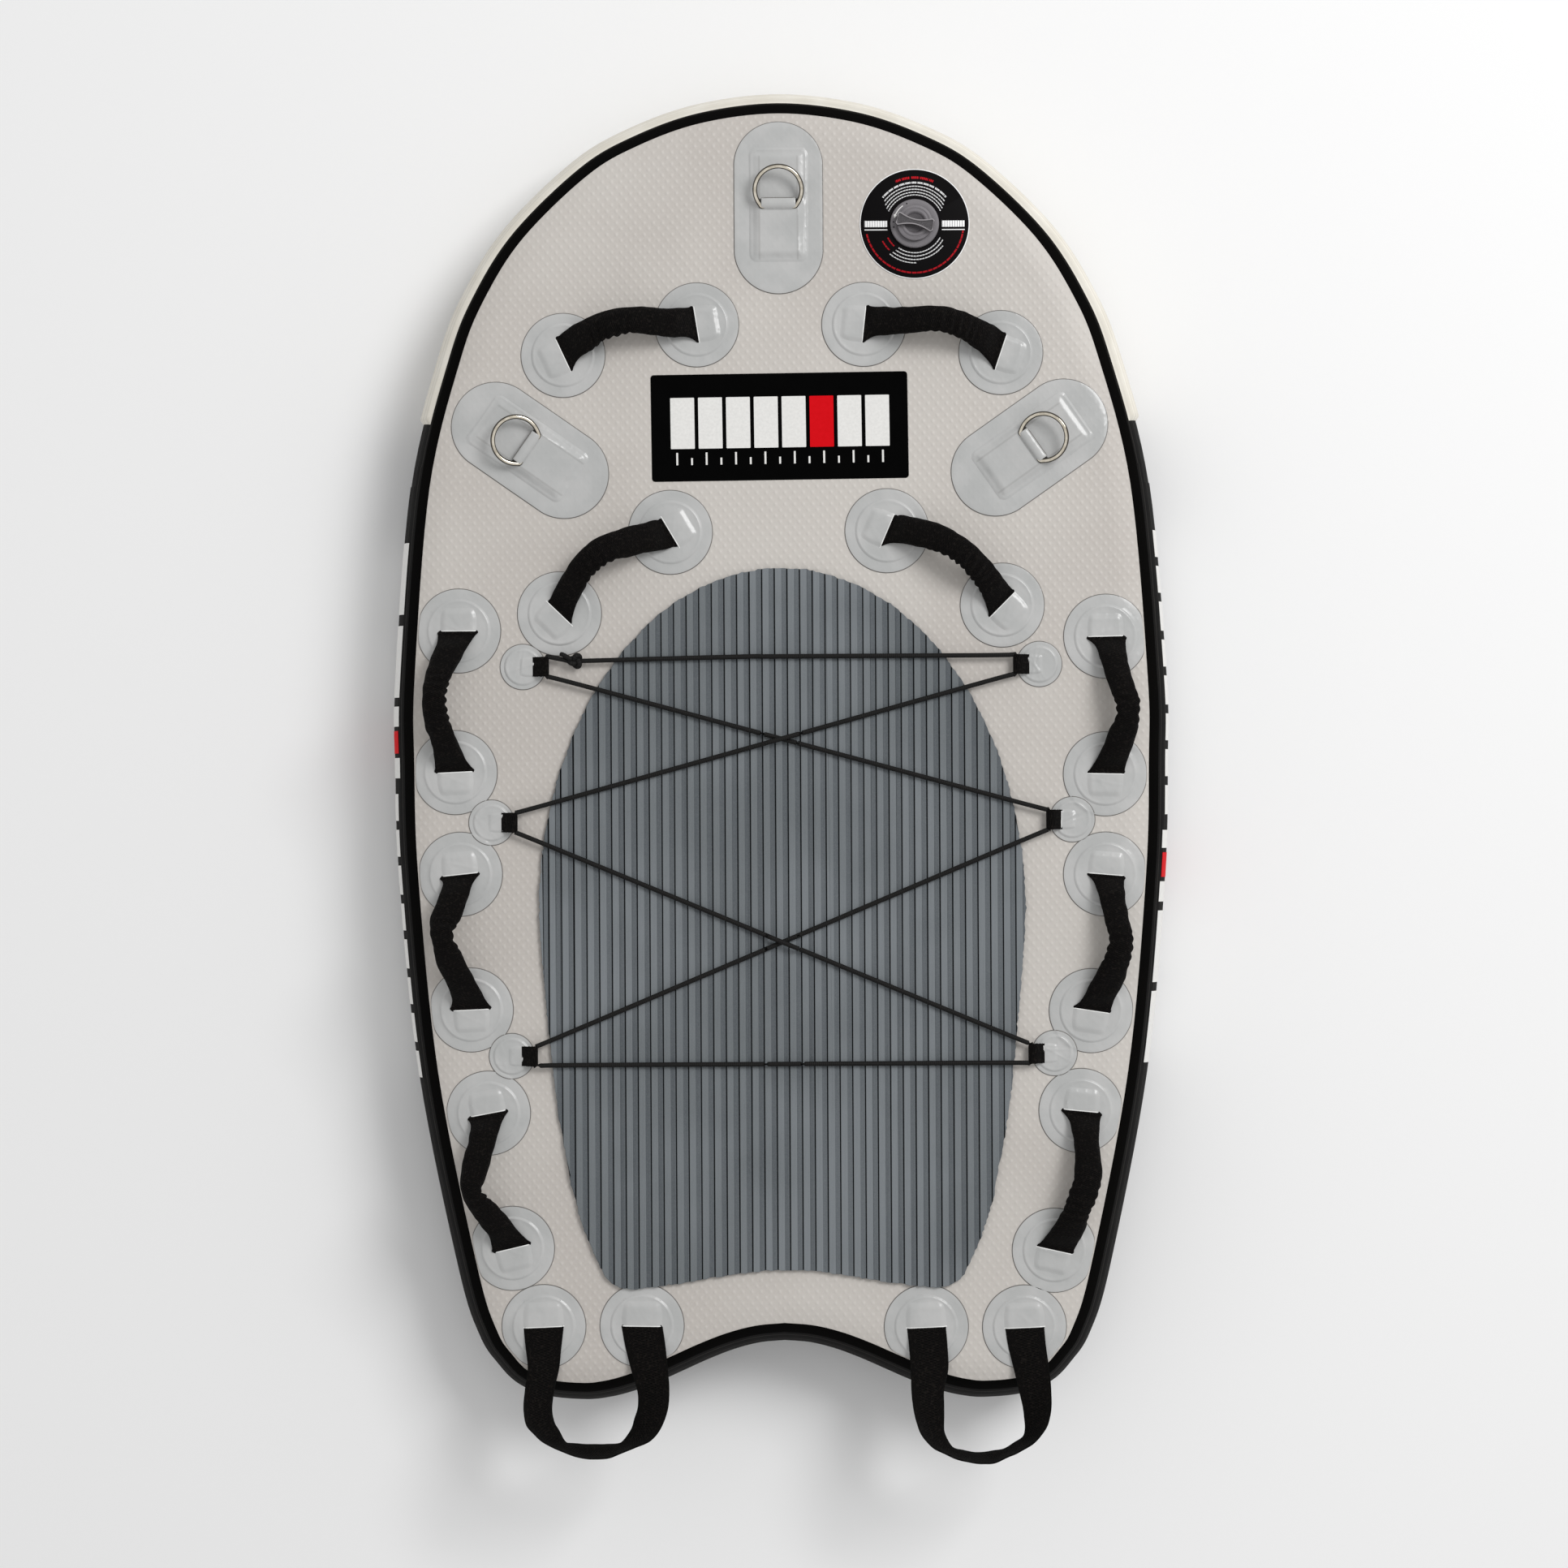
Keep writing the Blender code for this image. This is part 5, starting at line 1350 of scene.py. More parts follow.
def make_tail_loop(word, edges):
    """One loop of webbing and its two patches."""
    side = 1 if word == "right" else -1
    ribbon = Ribbon(pocketed(edges), (2.4, 2.8, *LOOP_RISES), (0.0, 0.0, *LOOP_LIFTS))
    length = ribbon.line.length
    loop = wrapped("tail_webbing_" + word, 200, 32,
                   strap_rule(ribbon, LOOP_THICKNESS, side * 3.7), (length, 0.1))
    tidy(loop)
    coat(smooth(loop, 60), strap_cloth)
    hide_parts("tail_loop_" + word)
    "tail_loop_" + word
    LOOP_CENTRE * side
    LOOP_CENTRE * side
    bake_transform(loop)
    for row in (edges[0], edges[-1]):
        spot = slit_middle(row)
        turn = slit_turn(row, (row[0] / 1000, -1.0))
        which = "outer" if abs(spot.x) > LOOP_CENTRE else "inner"
        lay(tail_patch, f"welded_patch_tail_{word}_{which}", spot, turn, GRIP_PATCH,
            f"patch_tail_{word}_{which}")
    return length


for word, edges in LOOP_EDGES.items():
    print("tail loop", word, round(make_tail_loop(word, edges), 3), "m of webbing")

# %% [markdown]
# ## Straps that fold
# The eyes of the bungee and the folds round the D-rings' bars are short bands bent in one plane.
# One rule does them all: a rounded section of some width and thickness, carried along a line.

# %% A folded band
def band_rule(line, width, thickness, sway=0.0):
    """A band whose width lies along Y, carried along a line in the XZ plane."""
    def place(u, v):
        way = line.way(u, 0.0015)
        over = Vector((-way.z, 0, way.x))
        angle = 2 * math.pi * v
        edge = fuller(math.cos(angle), 0.3)
        face = fuller(math.sin(angle), 0.8)
        shake = sway * noise.noise(Vector((u * 40, edge * 3, width * 900)))
        outwards = Vector((0, edge * (width / 2 + shake), 0))
        return line.at(u) + outwards + over * face * thickness / 2
    return place


def set_down(piece, spot, turn, height=DECK + 0.0003):
    """Move a piece's mesh to its place on the deck, turned."""
    piece.data.transform(placed(spot, turn, height - deck_drop(spot[0], spot[1])))
    return piece


EYE_LINE = Line(through([(x, 0, z) for x, z in (
    (-0.0014, 0.0032), (0.0000, 0.0034), (0.0045, 0.0074), (0.0100, 0.0124), (0.0149, 0.0140),
    (0.0180, 0.0127), (0.0192, 0.0097), (0.0180, 0.0067), (0.0149, 0.0054), (0.0100, 0.0049),
    (0.0050, 0.0038), (0.0000, 0.0028), (-0.0014, 0.0027))], 5))
eye = wrapped("eye", 60, 24, band_rule(EYE_LINE, 2 * EYE_HALF, 0.0016, 0.0007), (0.05, 0.054))
tidy(eye)
small_patch = flat_patch("small_patch", 0.0300, 0.0245, (0.020, 0.0270, 0.0018), ANCHOR_SLIT)
for row, (x, y) in ANCHOR_SPOTS.items():
    for word, side in (("right", 1), ("left", -1)):
        turn = math.pi if side > 0 else 0.0
        lay(small_patch, f"welded_anchor_{row}_{word}", (x * side, y), turn, 0.0305,
            f"bungee_anchor_{row}_{word}", over=True)
        loop = set_down(copy_of(eye, f"anchor_webbing_{row}_{word}"),
                        ((x - ANCHOR_SLIT) * side, y), turn)
        dress(loop, sleeve_cloth, crease=60)
for model in (eye, small_patch, grip_patch, tail_patch):
    bpy.data.objects.remove(model)
print("6 anchors")

# %% [markdown]
# ## Finish and form: shock cord
# The cord is a tube swept along its line. Its braid is two crossed sets of diagonal stripes on the
# UV map, and each crossing bulges a little. The knot is a real one: a trefoil line of the same
# cord drawn tight, with a short melted tail.

# %% Braided shock cord
braid = Finish("shock_cord", Roughness=0.7, Specular_IOR_Level=0.15)
along, around = braid.map()
picks, turn_share = along / 0.0052, around / (math.pi * CORD)
strands = ((picks + turn_share * 4).waves(1) * (picks - turn_share * 4).waves(1) + 1) * 0.5
tone = braid.blend(strands, paint(8, 8, 8), paint(30, 29, 28))
braid.set("Base Color", braid.blend(braid.cloud(900, 1.0).clear_of(0.6, 0.9) * 0.3, tone,
                                    paint(52, 50, 49)))
braid.relief(strands, 0.0005)


def tube_rule(line, radius, blunt=True):
    """A round tube along a line, its ends drawn in when blunt."""
    def place(u, v):
        way = line.way(u, 0.002)
        side = Vector((way.y, -way.x, 0))
        side = side.normalized() if side.length > 0.05 else Vector((1, 0, 0))
        over = side.cross(way).normalized()
        side = way.cross(over)
        end = min(u, 1 - u) * line.length
        dome = math.sqrt(1 - (1 - min(1, end / radius)) ** 2) * 0.97 + 0.03
        thick = radius * (dome if blunt else 1)
        angle = 2 * math.pi * v
        return line.at(u) + (side * math.cos(angle) + over * math.sin(angle)) * thick
    return place


def swept(name, line, radius, step, sides, blunt=True):
    """A tube of so many metres a step, closed and smooth."""
    count = int(line.length / step)
    piece = wrapped(name, count, sides, tube_rule(line, radius, blunt),
                    (line.length, 2 * math.pi * radius))
    tidy(piece)
    return smooth(piece, 60)

# %% Lace the bungee and tie it
bungee = dress(swept("laced_bungee", cord_line, CORD / 2, 0.006, 14, False), braid,
               stands_for="bungee_cord", crease=None)

trefoil = []
for k in range(73):
    t = 2 * math.pi * k / 72
    trefoil.append(Vector((math.sin(t) + 2 * math.sin(2 * t), math.cos(t) - 2 * math.cos(2 * t),
                           -1.3 * math.sin(3 * t))) * 0.00262)
knot = swept("bungee_knot", Line(trefoil), CORD / 2 * 1.12, 0.0016, 12, False)
knot.data.transform(placed(KNOT_SPOT, 0.5, KNOT_SPOT.z) @ Matrix.Diagonal((1, 1, 0.9, 1)))
tail_line = Line(through([KNOT_SPOT + Vector(step) for step in (
    (-0.004, 0.001, 0.0035), (-0.010, 0.0045, 0.0040), (-0.0150, 0.0075, 0.0035),
    (-0.0205, 0.0095, 0.0022))], 6))
knot_tail = swept("bungee_tail", tail_line, CORD / 2, 0.001, 12)
for piece in (knot, knot_tail):
    dress(piece, braid, crease=None)
[tuple(cord_line.at(k / 900)) for k in range(901)]
print("bungee", round(cord_line.length, 3), "m,", len(bungee.data.polygons), "faces")

# %% [markdown]
# ## The D-rings and their long patches
# The long patch is a clear sheet stretched over a folded strap: flat flange, two sloping sides and
# a raised middle. Below the slit the strap lies under the sheet, above it the sheet is lower, so
# one grid with a sharp step at the slit makes it. The strap's fold shows between.

# %% The long patch
RING_FLANGE = (0.112, 0.058)
PLATFORM = (0.074, 0.0385)
STRAP_HALF = 0.0240
PLATFORM_AHEAD = 0.0035
PLATFORM_CORNER = 0.010
SLIT_BACK = -0.0012
BAR_RISE = 0.0091


def platform_height(x, y):
    """Height of the sheet over the flange: stretched over the strap, lower past the slit."""
    past_x = abs(x - PLATFORM_AHEAD) - PLATFORM[0] + PLATFORM_CORNER
    past_y = abs(y) - PLATFORM[1] + PLATFORM_CORNER
    outside = math.hypot(max(past_x, 0), max(past_y, 0))
    edge = PLATFORM_CORNER - outside - min(max(past_x, past_y), 0)
    lip = 0.0010 * ease(edge, 0, 0.0030) + 0.0004 * math.exp(-((edge - 0.0032) / 0.0016) ** 2)
    across = min(PLATFORM[1] - abs(y), edge)
    slope = ease(across, 0.0015, PLATFORM[1] - STRAP_HALF)
    strap_end = -0.066 + 0.0014 * math.sin(y * 330) + 0.0010 * math.sin(y * 150 + 1)
    covered = ease(x, strap_end - 0.006, strap_end + 0.005)
    ahead = ease(PLATFORM[0] + PLATFORM_AHEAD - x, 0.003, 0.012)
    back = 0.0042 + 0.0030 * ease(x, -0.040, SLIT_BACK)
    if x <= SLIT_BACK:
        return lip + slope * covered * back
    low = 0.0021 * slope * ahead
    if abs(y) > STRAP_HALF + 0.0006:
        high = slope * back * ease(x, 0.0145, SLIT_BACK + 0.004)
        return lip + max(low, high)
    return lip + low


def long_patch_model():
    """The flange as a stretched circle, inset for its edge, and the platform as a grid on it."""
    flange = filled_circle("long_patch", 96, RING_FLANGE[1])
    push = RING_FLANGE[0] - RING_FLANGE[1]
    for corner in flange.data.vertices:
        corner.co.x += math.copysign(push, corner.co.x) if abs(corner.co.x) > 0.00001 else 0
    open_up(flange)
    for inwards, rise in (*CUT_EDGE, (0.004, 0), (0.004, 0)):
        bpy.ops.mesh.inset(thickness=inwards, depth=rise)
    bpy.ops.object.mode_set(mode="OBJECT")
    # The flange's lowest edge takes a painted line of shade.
    mark(flange, "painted_edge_shade", in_painted_edge_shade)
    rows = [PLATFORM_AHEAD - PLATFORM[0] + k * 0.0021 for k in range(40)]
    rows = [x for x in rows if x < SLIT_BACK - 0.001]
    rows += [SLIT_BACK + step for step in (-0.0004, 0, 0.0003)]
    rows += [SLIT_BACK + 0.0012 + k * 0.00226 for k in range(40)]
    front = PLATFORM[0] + PLATFORM_AHEAD
    rows = [x for x in rows if x < front - 0.001] + [front]

    def place(u, v):
        x = rows[round(u * (len(rows) - 1))]
        y = PLATFORM[1] * (2 * v - 1)
        return Vector((x, y, FLANGE - 0.0002 + platform_height(x, y)))

    platform = wrapped("platform", len(rows) - 1, 64, place)
    take(platform, flange)
    bpy.ops.object.join()
    line = flange.data.attributes["painted_edge_shade"]
    for k, corner in enumerate(flange.data.vertices):
        x, y = corner.co.x, abs(corner.co.y)
        # Painted shade: thin dark lines along the strap's edges.
        if corner.co.z > FLANGE + 0.0012 and abs(y - STRAP_HALF - 0.0012) < 0.0012 and x < 0.066:
            line.data[k].value = 0.22
        # Painted shade: the sheet's dip beside the slit is painted fully dark.
        if SLIT_BACK + 0.0002 < x < 0.0112 and STRAP_HALF - 0.0030 < y < STRAP_HALF + 0.0012:
            corner.co.z = FLANGE + 0.0004
            line.data[k].value = 1.0
    return flange


FOLD_LINE = Line(through([(x, 0, z) for x, z in (
    (-0.0120, 0.0060), (-0.0045, 0.0080), (-0.0012, 0.0112), (0.0014, 0.0129), (0.0050, 0.0135),
    (0.0094, 0.0124), (0.0112, 0.0092), (0.0096, 0.0062), (0.0055, 0.0047), (0.0000, 0.0040),
    (-0.0120, 0.0030))], 5))
long_patch = long_patch_model()
fold = wrapped("fold", 60, 24, band_rule(FOLD_LINE, 2 * STRAP_HALF - 0.0036, 0.0017, 0.0003),
               (0.05, 0.1))
tidy(fold)
# Painted shade: a dark line along the fold's front edge.
mark(fold, "painted_edge_shade", lambda place: place.x > 0.0106)
print("long patch", len(long_patch.data.polygons), "faces")

# %% [markdown]
# The ring itself is a polished wire bent into most of a circle, closed by a straight bar that
# lies in the strap's fold. It rests lifted a little, as a stiff strap holds it.

# %% Finish: polished wire
WIRE = 0.0062

steel = Finish("polished_steel", Metallic=1.0)
brushed = steel.cloud(160, 2.0)
tone = steel.blend(brushed.clear_of(0.3, 0.7), paint(186, 178, 162), paint(214, 207, 193))
_, around = steel.map()
# Painted reflection: the wire's flanks are painted dark, as the dark band a polished wire
# reflects.
painted_flank_reflection = around.waves(math.pi * WIRE).size().clear_of(0.30, 0.70)
steel.set("Base Color", steel.blend(painted_flank_reflection * 0.92, tone, paint(34, 29, 25)))
steel.set("Roughness", 0.12 + brushed * 0.10)
steel.relief(steel.cloud(900, 1.0), 0.00003)

# %% Bend the ring and set the three down
BOW_CENTRE = 0.0216
BOW_RADIUS = 0.0302
RING_LIFT = Matrix.Rotation(-math.radians(17), 3, "Y")

start = math.pi - math.acos((BOW_CENTRE - 0.0045) / BOW_RADIUS)
bend = [Vector((BOW_CENTRE + BOW_RADIUS * math.cos(angle), BOW_RADIUS * math.sin(angle), 0))
        for angle in [start * (1 - 2 * k / 40) for k in range(41)]]
closing = [Vector((0.0008, -0.0222, 0)), Vector((0, -0.0195, 0)), Vector((0, 0, 0)),
           Vector((0, 0.0195, 0)), Vector((0.0008, 0.0222, 0))]
ring_path = Line([RING_LIFT @ spot for spot in through([*bend, *closing, bend[0]], 3)])


def ring_rule(u, v):
    """A round wire round the ring: its side always lies in the ring's plane."""
    up = RING_LIFT @ Vector((0, 0, 1))
    here = ring_path.at(u % 1)
    way = (ring_path.at((u + 0.004) % 1) - ring_path.at((u - 0.004) % 1)).normalized()
    out = way.cross(up).normalized()
    angle = 2 * math.pi * v
    return here + (out * math.cos(angle) + up * math.sin(angle)) * WIRE / 2


ring = wrapped("ring", 150, 20, ring_rule, (ring_path.length, math.pi * WIRE))
tidy(ring)
RINGS = {"nose": ((0.0, 0.6950), 90), "shoulder_right": ((0.3230, 0.3830), 35),
         "shoulder_left": ((-0.3230, 0.3830), 145)}
for word, (spot, degrees) in RINGS.items():
    turn = math.radians(degrees)
    patch = copy_of(long_patch, "welded_ring_patch_" + word)
    place = placed(spot, turn)
    for corner in patch.data.vertices:
        there = place @ corner.co
        there.z += DECK + 0.0002 - deck_drop(there.x, there.y)
        corner.co = there
    dress(patch, patch_pvc, stands_for="ring_patch_" + word, crease=30)
    strap = set_down(copy_of(fold, "ring_strap_" + word), spot, turn)
    dress(strap, patch_pvc, crease=60)
    hoop = set_down(copy_of(ring, "steel_ring_" + word), spot, turn, DECK + 0.0003 + BAR_RISE)
    dress(hoop, steel, "d_ring_" + word, "d_ring_" + word, 60)
for model in (long_patch, fold, ring):
    bpy.data.objects.remove(model)
print("3 D-rings, wire", WIRE * 1000, "mm")

# %% [markdown]
# ## The valve
# The parts of the valve are turned, so they are made as on a lathe: a circle is extruded and
# resized along a profile. The body is a barrel with a ported seat, the poppet is a button on a
# stem, and the cap is a plug with a waisted tab to turn it by.

# %% A lathe
def turned(name, profile, sides=72, centre=VALVE):
    """Extrude and resize a circle along a profile of (radius, height)."""
    let_go()
    radius, height = profile[0]
    bpy.ops.mesh.primitive_circle_add(vertices=sides, radius=radius,
                                      location=(centre.x, centre.y, height))
    piece = named(name)
    bpy.ops.object.transform_apply(location=True)
    bpy.ops.object.mode_set(mode="EDIT")
    bpy.ops.mesh.select_mode(type="EDGE")
    bpy.ops.mesh.select_all(action="SELECT")
    for wider, higher in profile[1:]:
        pull_up(higher - height)
        bpy.ops.transform.resize(value=(wider / radius, wider / radius, 1),
                                 center_override=(centre.x, centre.y, 0))
        radius, height = wider, higher
    tidy(piece)
    return piece


def round_valve(reach, angle, height):
    """A place so far from the valve's axis, at an angle and a height."""
    return Vector((VALVE.x + reach * math.cos(angle), VALVE.y + reach * math.sin(angle), height))


def from_valve(finish):
    """The point's x and y from the valve's axis, and its height."""
    x, y, z = finish.axes(finish.place())
    return x - VALVE.x, y - VALVE.y, z


SEAT = 0.1254
CAP = 0.1559
RIM = CAP + 0.0129

valve_plastic = Finish("valve_plastic", Roughness=0.42, Specular_IOR_Level=0.4)
pepper = valve_plastic.cloud(1500, 2.0)
tone = valve_plastic.blend(valve_plastic.cloud(60, 3.0), paint(102, 99, 102), paint(120, 116, 119))
x, y, z = from_valve(valve_plastic)
# Painted shade: the cap's central recess is painted dark.
painted_recess_shade = (x * x + y * y < 0.0128 ** 2) * (z < CAP + 0.0055)
tone = valve_plastic.blend(painted_recess_shade * 0.75, tone, paint(52, 48, 51))
# Painted shade: the tab's walls and hollow top are painted near black.
tone = valve_plastic.blend(z.within(CAP + 0.0070, RIM) * 0.95, tone, paint(46, 43, 45))
# Painted highlight: the tab's raised border is painted lighter.
tone = valve_plastic.blend((z > RIM) * 0.6, tone, paint(168, 164, 166))
valve_plastic.set("Base Color", valve_plastic.blend(pepper.clear_of(0.5, 0.75) * 0.45, tone,
                                                    paint(150, 146, 152)))
valve_plastic.relief(pepper, 0.00025)

body = turned("valve_barrel", (
    (0.0035, SEAT), (0.0186, SEAT), (0.0190, 0.1258), (0.0190, 0.1545), (0.0194, 0.1554),
    (0.0202, 0.1559), (0.0240, 0.15595), (0.0290, 0.1559), (0.0306, 0.1556), (0.0313, 0.1549),
    (0.0315, 0.1540), (0.0315, 0.1518), (0.0311, 0.1514), (0.0225, 0.1514), (0.0225, 0.1154),
    (0.0190, 0.1154), (0.0190, SEAT - 0.003), (0.0035, SEAT - 0.003), (0.0035, SEAT)))
for k in range(4):
    bore(body, round_valve(0.0105, math.pi / 2 * (k + 0.5), SEAT - 0.0015), 0.0042, 0.009, 24)
dress(body, valve_plastic, stands_for="valve_body")
print("valve body", len(body.data.polygons), "faces")

# %% Poppet, spring and seal
poppet = turned("valve_button", (
    (0.0004, 0.1390), (0.0058, 0.1390), (0.0069, 0.1387), (0.0072, 0.1379), (0.0072, 0.1365),
    (0.0030, 0.1365), (0.0030, 0.1221), (0.0148, 0.1221), (0.0155, 0.1218), (0.0155, 0.1200),
    (0.0150, 0.1196), (0.0004, 0.1196)), 48)
dress(poppet, valve_plastic, "valve_poppet", "valve_poppet")

coil = Line([round_valve(0.0056, k / 5, SEAT + 0.0008 + 0.0092 * k / 125) for k in range(126)])
spring = dress(swept("valve_coil", coil, 0.0005, 0.0012, 8), steel,
               stands_for="valve_spring", crease=None)
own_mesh(spring)

rubber = two_tone("seal_rubber", 300, (16, 16, 17), (34, 33, 34), Roughness=0.62,
                  Specular_IOR_Level=0.2)
rubber.relief(rubber.cloud(1200, 2.0), 0.0001)
turns = [2 * math.pi * k / 14 for k in range(14)]
hoop = [(0.0213 + 0.0011 * math.cos(turn), 0.1573 + 0.0011 * math.sin(turn)) for turn in turns]
dress(turned("cap_seal", (*hoop, hoop[0])), rubber, "valve_cap_seal",
      "valve_cap_seal", 60)
print("poppet, spring and seal")

# %% [markdown]
# The cap's tab starts as a grid drawn in at the waist and is extruded up. Its top then drops a
# little, but for a narrow rim along its edge, which stands as a raised border. Joining the tab to
# the turned disc makes the cap one moulding.

# %% The cap
TAB_LENGTH = 0.049
TAB_WIDTH = 0.020
TAB_WAIST = 0.0072
TAB_FOOT = CAP + 0.0044
TAB_TURN = -12

cap = turned("bayonet_cap", [(radius, CAP + height) for radius, height in (
    (0.0004, 0.0042), (0.0116, 0.0042), (0.0126, 0.0046), (0.0136, 0.0060), (0.0146, 0.0066),
    (0.0160, 0.0068), (0.0172, 0.0064), (0.0178, 0.0056), (0.0188, 0.0055), (0.0194, 0.0060),
    (0.0214, 0.0059), (0.0226, 0.0054), (0.0230, 0.0046), (0.0230, 0.0028), (0.0185, 0.0028),
    (0.0185, -0.0094), (0.0179, -0.0100), (0.0165, -0.0100), (0.0165, 0.0028), (0.0004, 0.0028))])
let_go()
bpy.ops.mesh.primitive_grid_add(x_subdivisions=60, y_subdivisions=16, size=1)
tab = named("tab")


def tab_width(share):
    """The tab's width at a share of its half length: narrow at the waist, round at the ends."""
    rounding = 1 - 0.35 * ease(abs(share), 0.86, 1.0)
    return mix(TAB_WAIST, TAB_WIDTH, abs(share) ** 1.8) * rounding


for corner in tab.data.vertices:
    share = corner.co.x * 2
    hollow = 0.0012 * (1 - (corner.co.y * 2) ** 2) * abs(share) ** 8
    corner.co = (share * TAB_LENGTH / 2 - math.copysign(hollow, share),
                 corner.co.y * tab_width(share), TAB_FOOT)
open_up(tab)
pull_up(0.0086)
bpy.ops.object.mode_set(mode="OBJECT")
for corner in tab.data.vertices:
    if corner.co.z > CAP + 0.006:
        share = corner.co.x / TAB_LENGTH * 2
        to_side = tab_width(share) / 2 - abs(corner.co.y)
        to_end = TAB_LENGTH / 2 * (1 - abs(share))
        rim = min(to_side, to_end)
        corner.co.z += 0.0004 * ease(rim, 0, 0.0004) - 0.0012 * ease(rim, 0.0009, 0.0024)
tidy(tab)
tab.data.transform(placed(VALVE, math.radians(TAB_TURN)))
take(tab, cap)
bpy.ops.object.join()
dress(cap, valve_plastic, "valve_cap", "valve_cap", 40)
print("cap", len(cap.data.polygons), "faces")

# %% [markdown]
# ## Finish: the printed disc
# The real disc carries printed words. Here its place is filled with plain marks: rings of short
# white and red dashes, like a scale, drawn from the distance and the angle to the valve. Each
# arc is a comparison of the two, cut into dashes by the angle.

# %% The printed disc
LABEL_RADIUS = 0.0710
# Radius and thickness in metres, start and end in degrees, and dashes in 100 degrees.
WHITE_ARCS = (
    (0.0533, 0.0024, 40, 140, 62), (0.0486, 0.0014, 37, 143, 120), (0.0448, 0.0014, 33, 147, 110),
    (0.0410, 0.0014, 29, 151, 100), (0.0374, 0.0013, 26, 154, 92), (0.0374, 0.0014, 236, 332, 92),
    (0.0418, 0.0014, 234, 330, 100), (0.0462, 0.0014, 232, 322, 112),
    (0.0504, 0.0013, 230, 272, 120),
)
RED_ARCS = (
    (0.0598, 0.0030, 66, 114, 46), (0.0390, 0.0018, 206, 228, 100),
    (0.0470, 0.0018, 208, 226, 110), (0.0632, 0.0022, 192, 352, 84),
)

print_disc = Finish("print_disc", Roughness=0.6, Specular_IOR_Level=0.05)
x, y, _ = from_valve(print_disc)
away = (x * x + y * y) ** 0.5
angle = x.maths("ARCTAN2", y, x) * (180 / math.pi)
angle = (angle / 360 + 1).part() * 360


def with_arcs(mask, arcs):
    """A mask with arcs of dashes added to it, and a wider gap after every few dashes."""
    for radius, thick, low, high, pitch in arcs:
        where = angle.within(low, high) * away.within(radius - thick / 2, radius + thick / 2)
        dash = (angle * (pitch / 100)).part() > 0.30
        gap = (angle * (pitch / 530) + radius * 900).part() > 0.14
        mask = mask | where * dash * gap
    return mask


white_mask = with_arcs(away.within(LABEL_RADIUS - 0.0011, LABEL_RADIUS + 1), WHITE_ARCS)
red_mask = with_arcs(away * 0, RED_ARCS)
for side in (-1, 1):
    block = x.within(side * 0.0500 - 0.0148, side * 0.0500 + 0.0148)
    thick_bar = y.within(-0.0040, 0.0040) * ((x * 310).part() > 0.16)
    underline = y.within(-0.0082, -0.0070)
    white_mask = white_mask | block * (thick_bar + underline)
ink_fade = print_disc.cloud(420, 3.0).clear_of(0.2, 0.5)
black = print_disc.blend(print_disc.cloud(30, 3.0), paint(7, 6, 7), paint(14, 12, 13))
colour = print_disc.blend(white_mask * (0.84 + ink_fade * 0.16), black, paint(250, 250, 250))
print_disc.set("Base Color", print_disc.blend(red_mask * (0.84 + ink_fade * 0.16), colour,
                                              paint(200, 28, 40)))
print_disc.relief(print_disc.cloud(300, 2.0), 0.00008)

disc = turned("printed_disc", ((0.0245, 0.1503), (0.0707, 0.1503), (LABEL_RADIUS, 0.1505),
                               (LABEL_RADIUS, 0.1509), (0.0707, 0.1511), (0.0245, 0.1511),
                               (0.0245, 0.1503)), 128)
for corner in disc.data.vertices:
    corner.co.z -= deck_drop(corner.co.x, corner.co.y)
dress(disc, print_disc, stands_for="valve_label")
print(len(WHITE_ARCS) + len(RED_ARCS), "arcs of dashes")

# %% Marks on the valve's flange
MARK = 0.1561

white_ink = two_tone("white_ink", 300, (214, 213, 210), (238, 237, 234), Roughness=0.5)


def mark_rule(u, v):
    """A curved stroke that swells into a plain arrowhead."""
    head = 0.0022 * (1 - ease(u, 0.72, 1.0)) if u > 0.72 else 0.0006
    return round_valve(0.0272 + head * (2 * v - 1), math.radians(mix(124, 168, u)), MARK)


arrow = wrapped("turn_mark", 50, 2, mark_rule)
modify(arrow, "SOLIDIFY", thickness=0.0001, offset=0)
dress(arrow, white_ink)
for k, degrees in enumerate((112, 176, 190)):
    dot = turned(f"index_dot_{k}", ((0.0002, MARK), (0.0009, MARK), (0.0011, MARK - 0.0003),
                                    (0.0002, MARK - 0.0003)), 20,
                 round_valve(0.0275, math.radians(degrees), 0))
    dress(dot, rubber)
print("turn mark and three index dots")

# %% [markdown]
# ## The panel ahead of the pad and the bars on the rail
# The real sled has words there. Their places are kept, and hold plain bars: a row of white blocks
# and one red block over a row of ticks on a black panel, and white blocks and a red one along
# each rail.

# %% The black panel and its bars
PANEL = (0.332, 0.138)
PANEL_MIDDLE = (0.0, 0.412)
PANEL_TURN = 0.6
BARS = (-0.1255, -0.0895, -0.0535, -0.0175, 0.0185, 0.0905, 0.1265)
BAR_SIZE = (0.031, 0.066)
BLOCK_X = 0.0545
BAR_Y = 0.006
TICKS = 15
TICK_PITCH = 0.019

panel_skin = two_tone("panel_skin", 45, (1, 1, 1), (4, 4, 4), Roughness=0.7,
                      Specular_IOR_Level=0.02)
panel_skin.relief(dots(panel_skin) * 0.5 + panel_skin.cloud(300, 2.0) * 0.2, 0.0003)
red_ink = two_tone("red_ink", 200, (204, 6, 16), (218, 14, 26), Roughness=0.6,
                   Specular_IOR_Level=0.05)


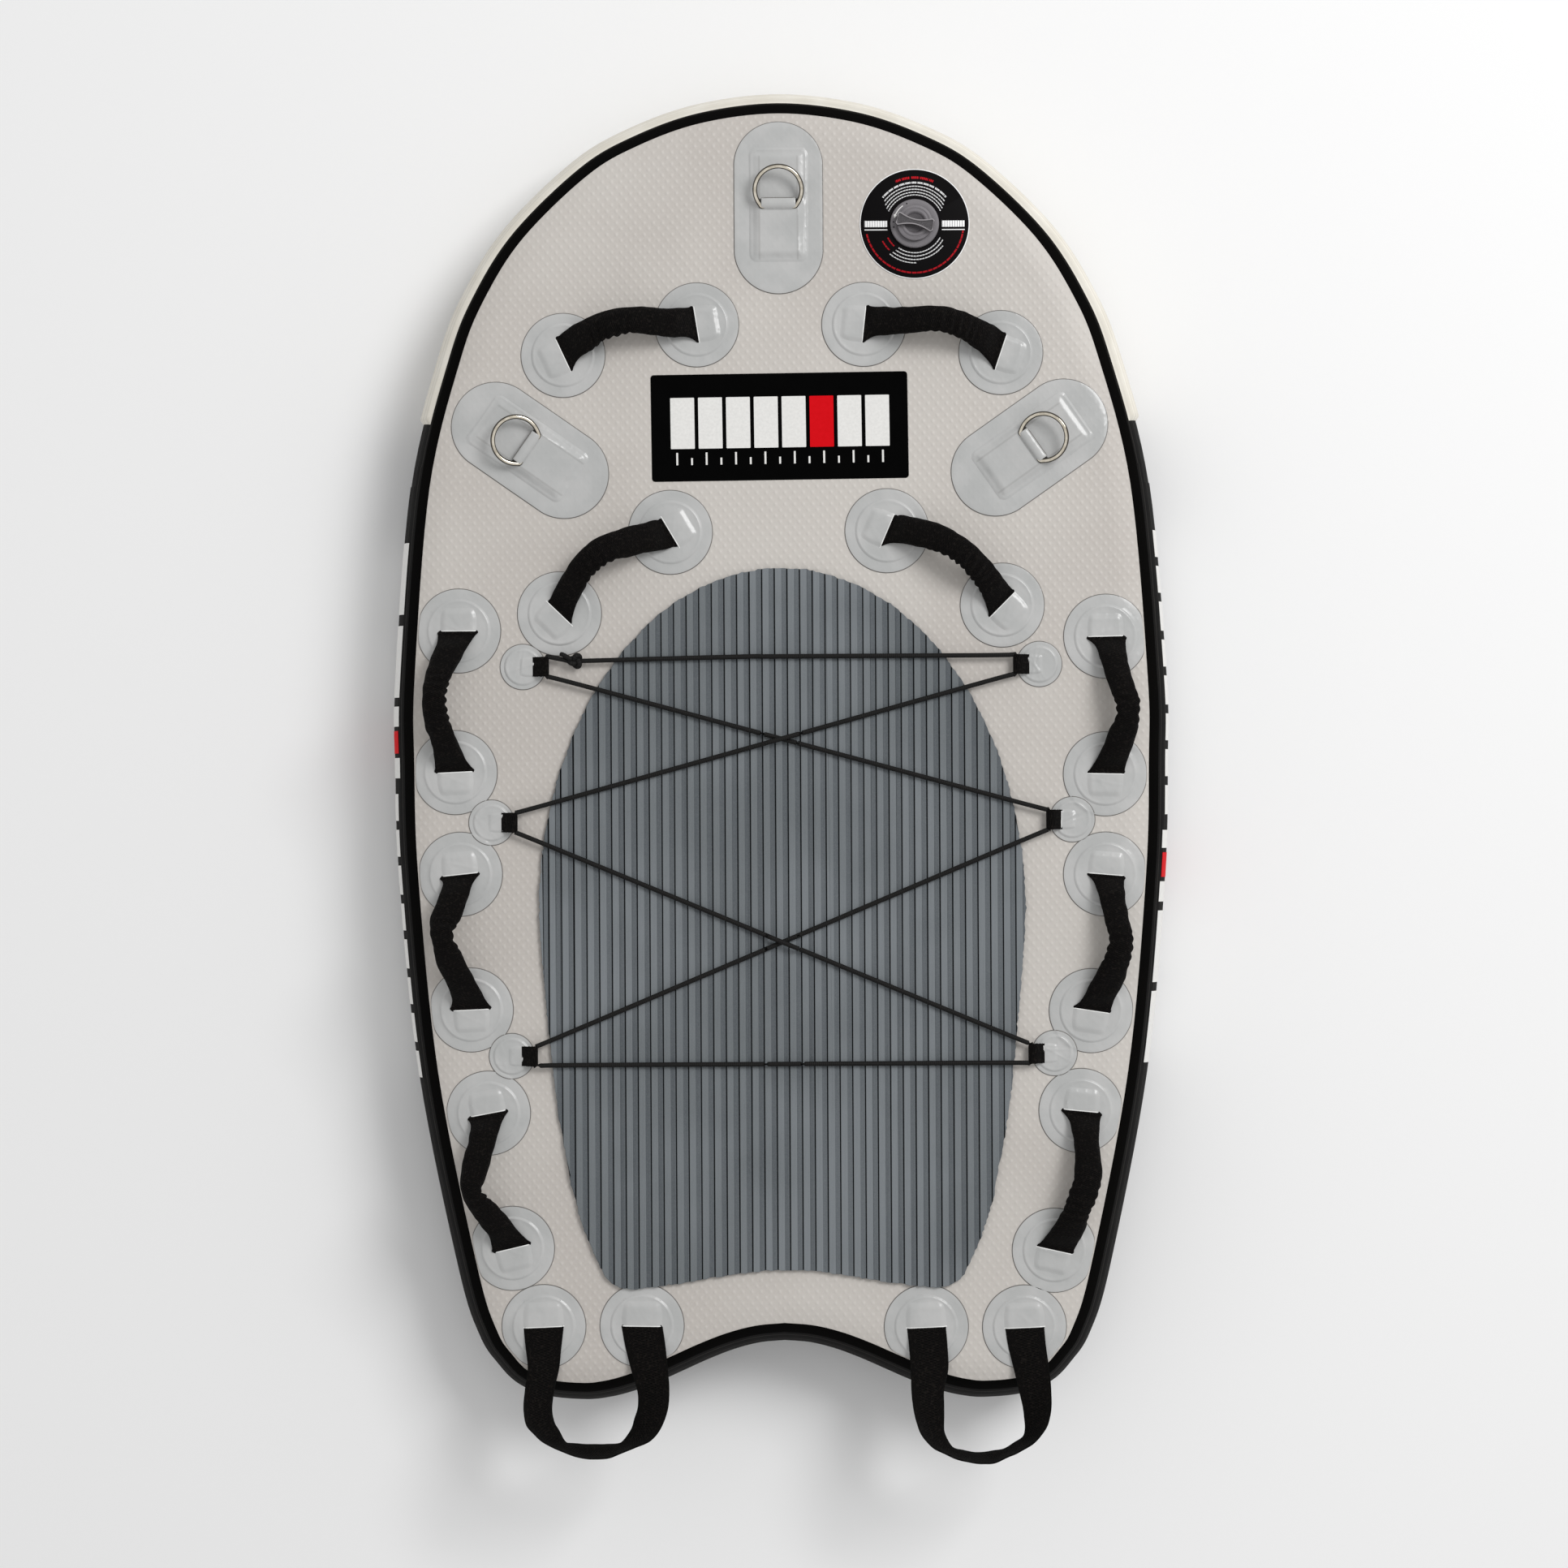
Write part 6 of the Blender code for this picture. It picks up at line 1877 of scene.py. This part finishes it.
def sticker(name, middle_spot, size, rise, finish):
    """A thin bevelled sheet on the deck."""
    let_go()
    bpy.ops.mesh.primitive_plane_add(size=1)
    sheet = named(name)
    for corner in sheet.data.vertices:
        corner.co = (corner.co.x * size[0], corner.co.y * size[1], DECK + rise)
    open_up(sheet)
    pull_up(0.0003)
    pick(sheet, "EDGE", lambda edge: abs(edge.verts[0].co.z - edge.verts[1].co.z) > 0.0001)
    bpy.ops.mesh.bevel(offset=min(size) * 0.03, segments=3)
    tidy(sheet)
    sheet.data.transform(placed(PANEL_MIDDLE, math.radians(PANEL_TURN))
                         @ Matrix.Translation((*middle_spot, 0)))
    dress(sheet, finish)


sticker("black_panel", (0, 0), PANEL, 0.0002, panel_skin)
for k, x in enumerate(BARS):
    sticker(f"panel_bar_{k}", (x, BAR_Y), BAR_SIZE, 0.0004, white_ink)
sticker("panel_block", (BLOCK_X, BAR_Y), BAR_SIZE, 0.0004, red_ink)
for k in range(TICKS):
    tall = 0.016 if k % 2 == 0 else 0.009
    sticker(f"panel_tick_{k}", (k * TICK_PITCH - 0.133, tall / 2 - 0.0480), (0.0024, tall), 0.0004,
            white_ink)
print(len(BARS) + TICKS + 2, "flat pieces")

# %% The bars on the rails
# Top, bottom, and half the height over the rail's middle: large blocks first, then small.
RAIL_BARS = [
    (0.268, 0.174, 0.043), (0.162, 0.068, 0.043), (0.056, 0.030, 0.043), (-0.012, -0.038, 0.043),
    *[(-0.058 - 0.048 * k, -0.094 - 0.048 * k, 0.036) for k in range(8)],
]
RED_BAR = (0.024, -0.006, 0.040)
BARS_MIDDLE = -0.0742


def rail_bar(name, top, low, reach, side, finish):
    """A block of print on the rail's widest part; the right side is the left one turned round."""
    if side > 0:
        top, low = 2 * BARS_MIDDLE - low, 2 * BARS_MIDDLE - top
    first, last = round_share_at(top), round_share_at(low)
    if side > 0:
        first, last = 1 - first, 1 - last

    def place(u, v):
        return rail_spot(mix(first, last, u), reach * (2 * v - 1), 0.0012)

    bar = wrapped(name, 14, 8, place)
    modify(bar, "SOLIDIFY", thickness=0.0003, offset=0)
    tidy(bar)
    dress(bar, finish)


for word, side in (("left", -1), ("right", 1)):
    for k, bar in enumerate(RAIL_BARS):
        rail_bar(f"rail_bar_{word}_{k}", *bar, side, white_ink)
    rail_bar(f"rail_block_{word}", *RED_BAR, side, red_ink)
print(2 * len(RAIL_BARS) + 2, "bars on the rails")
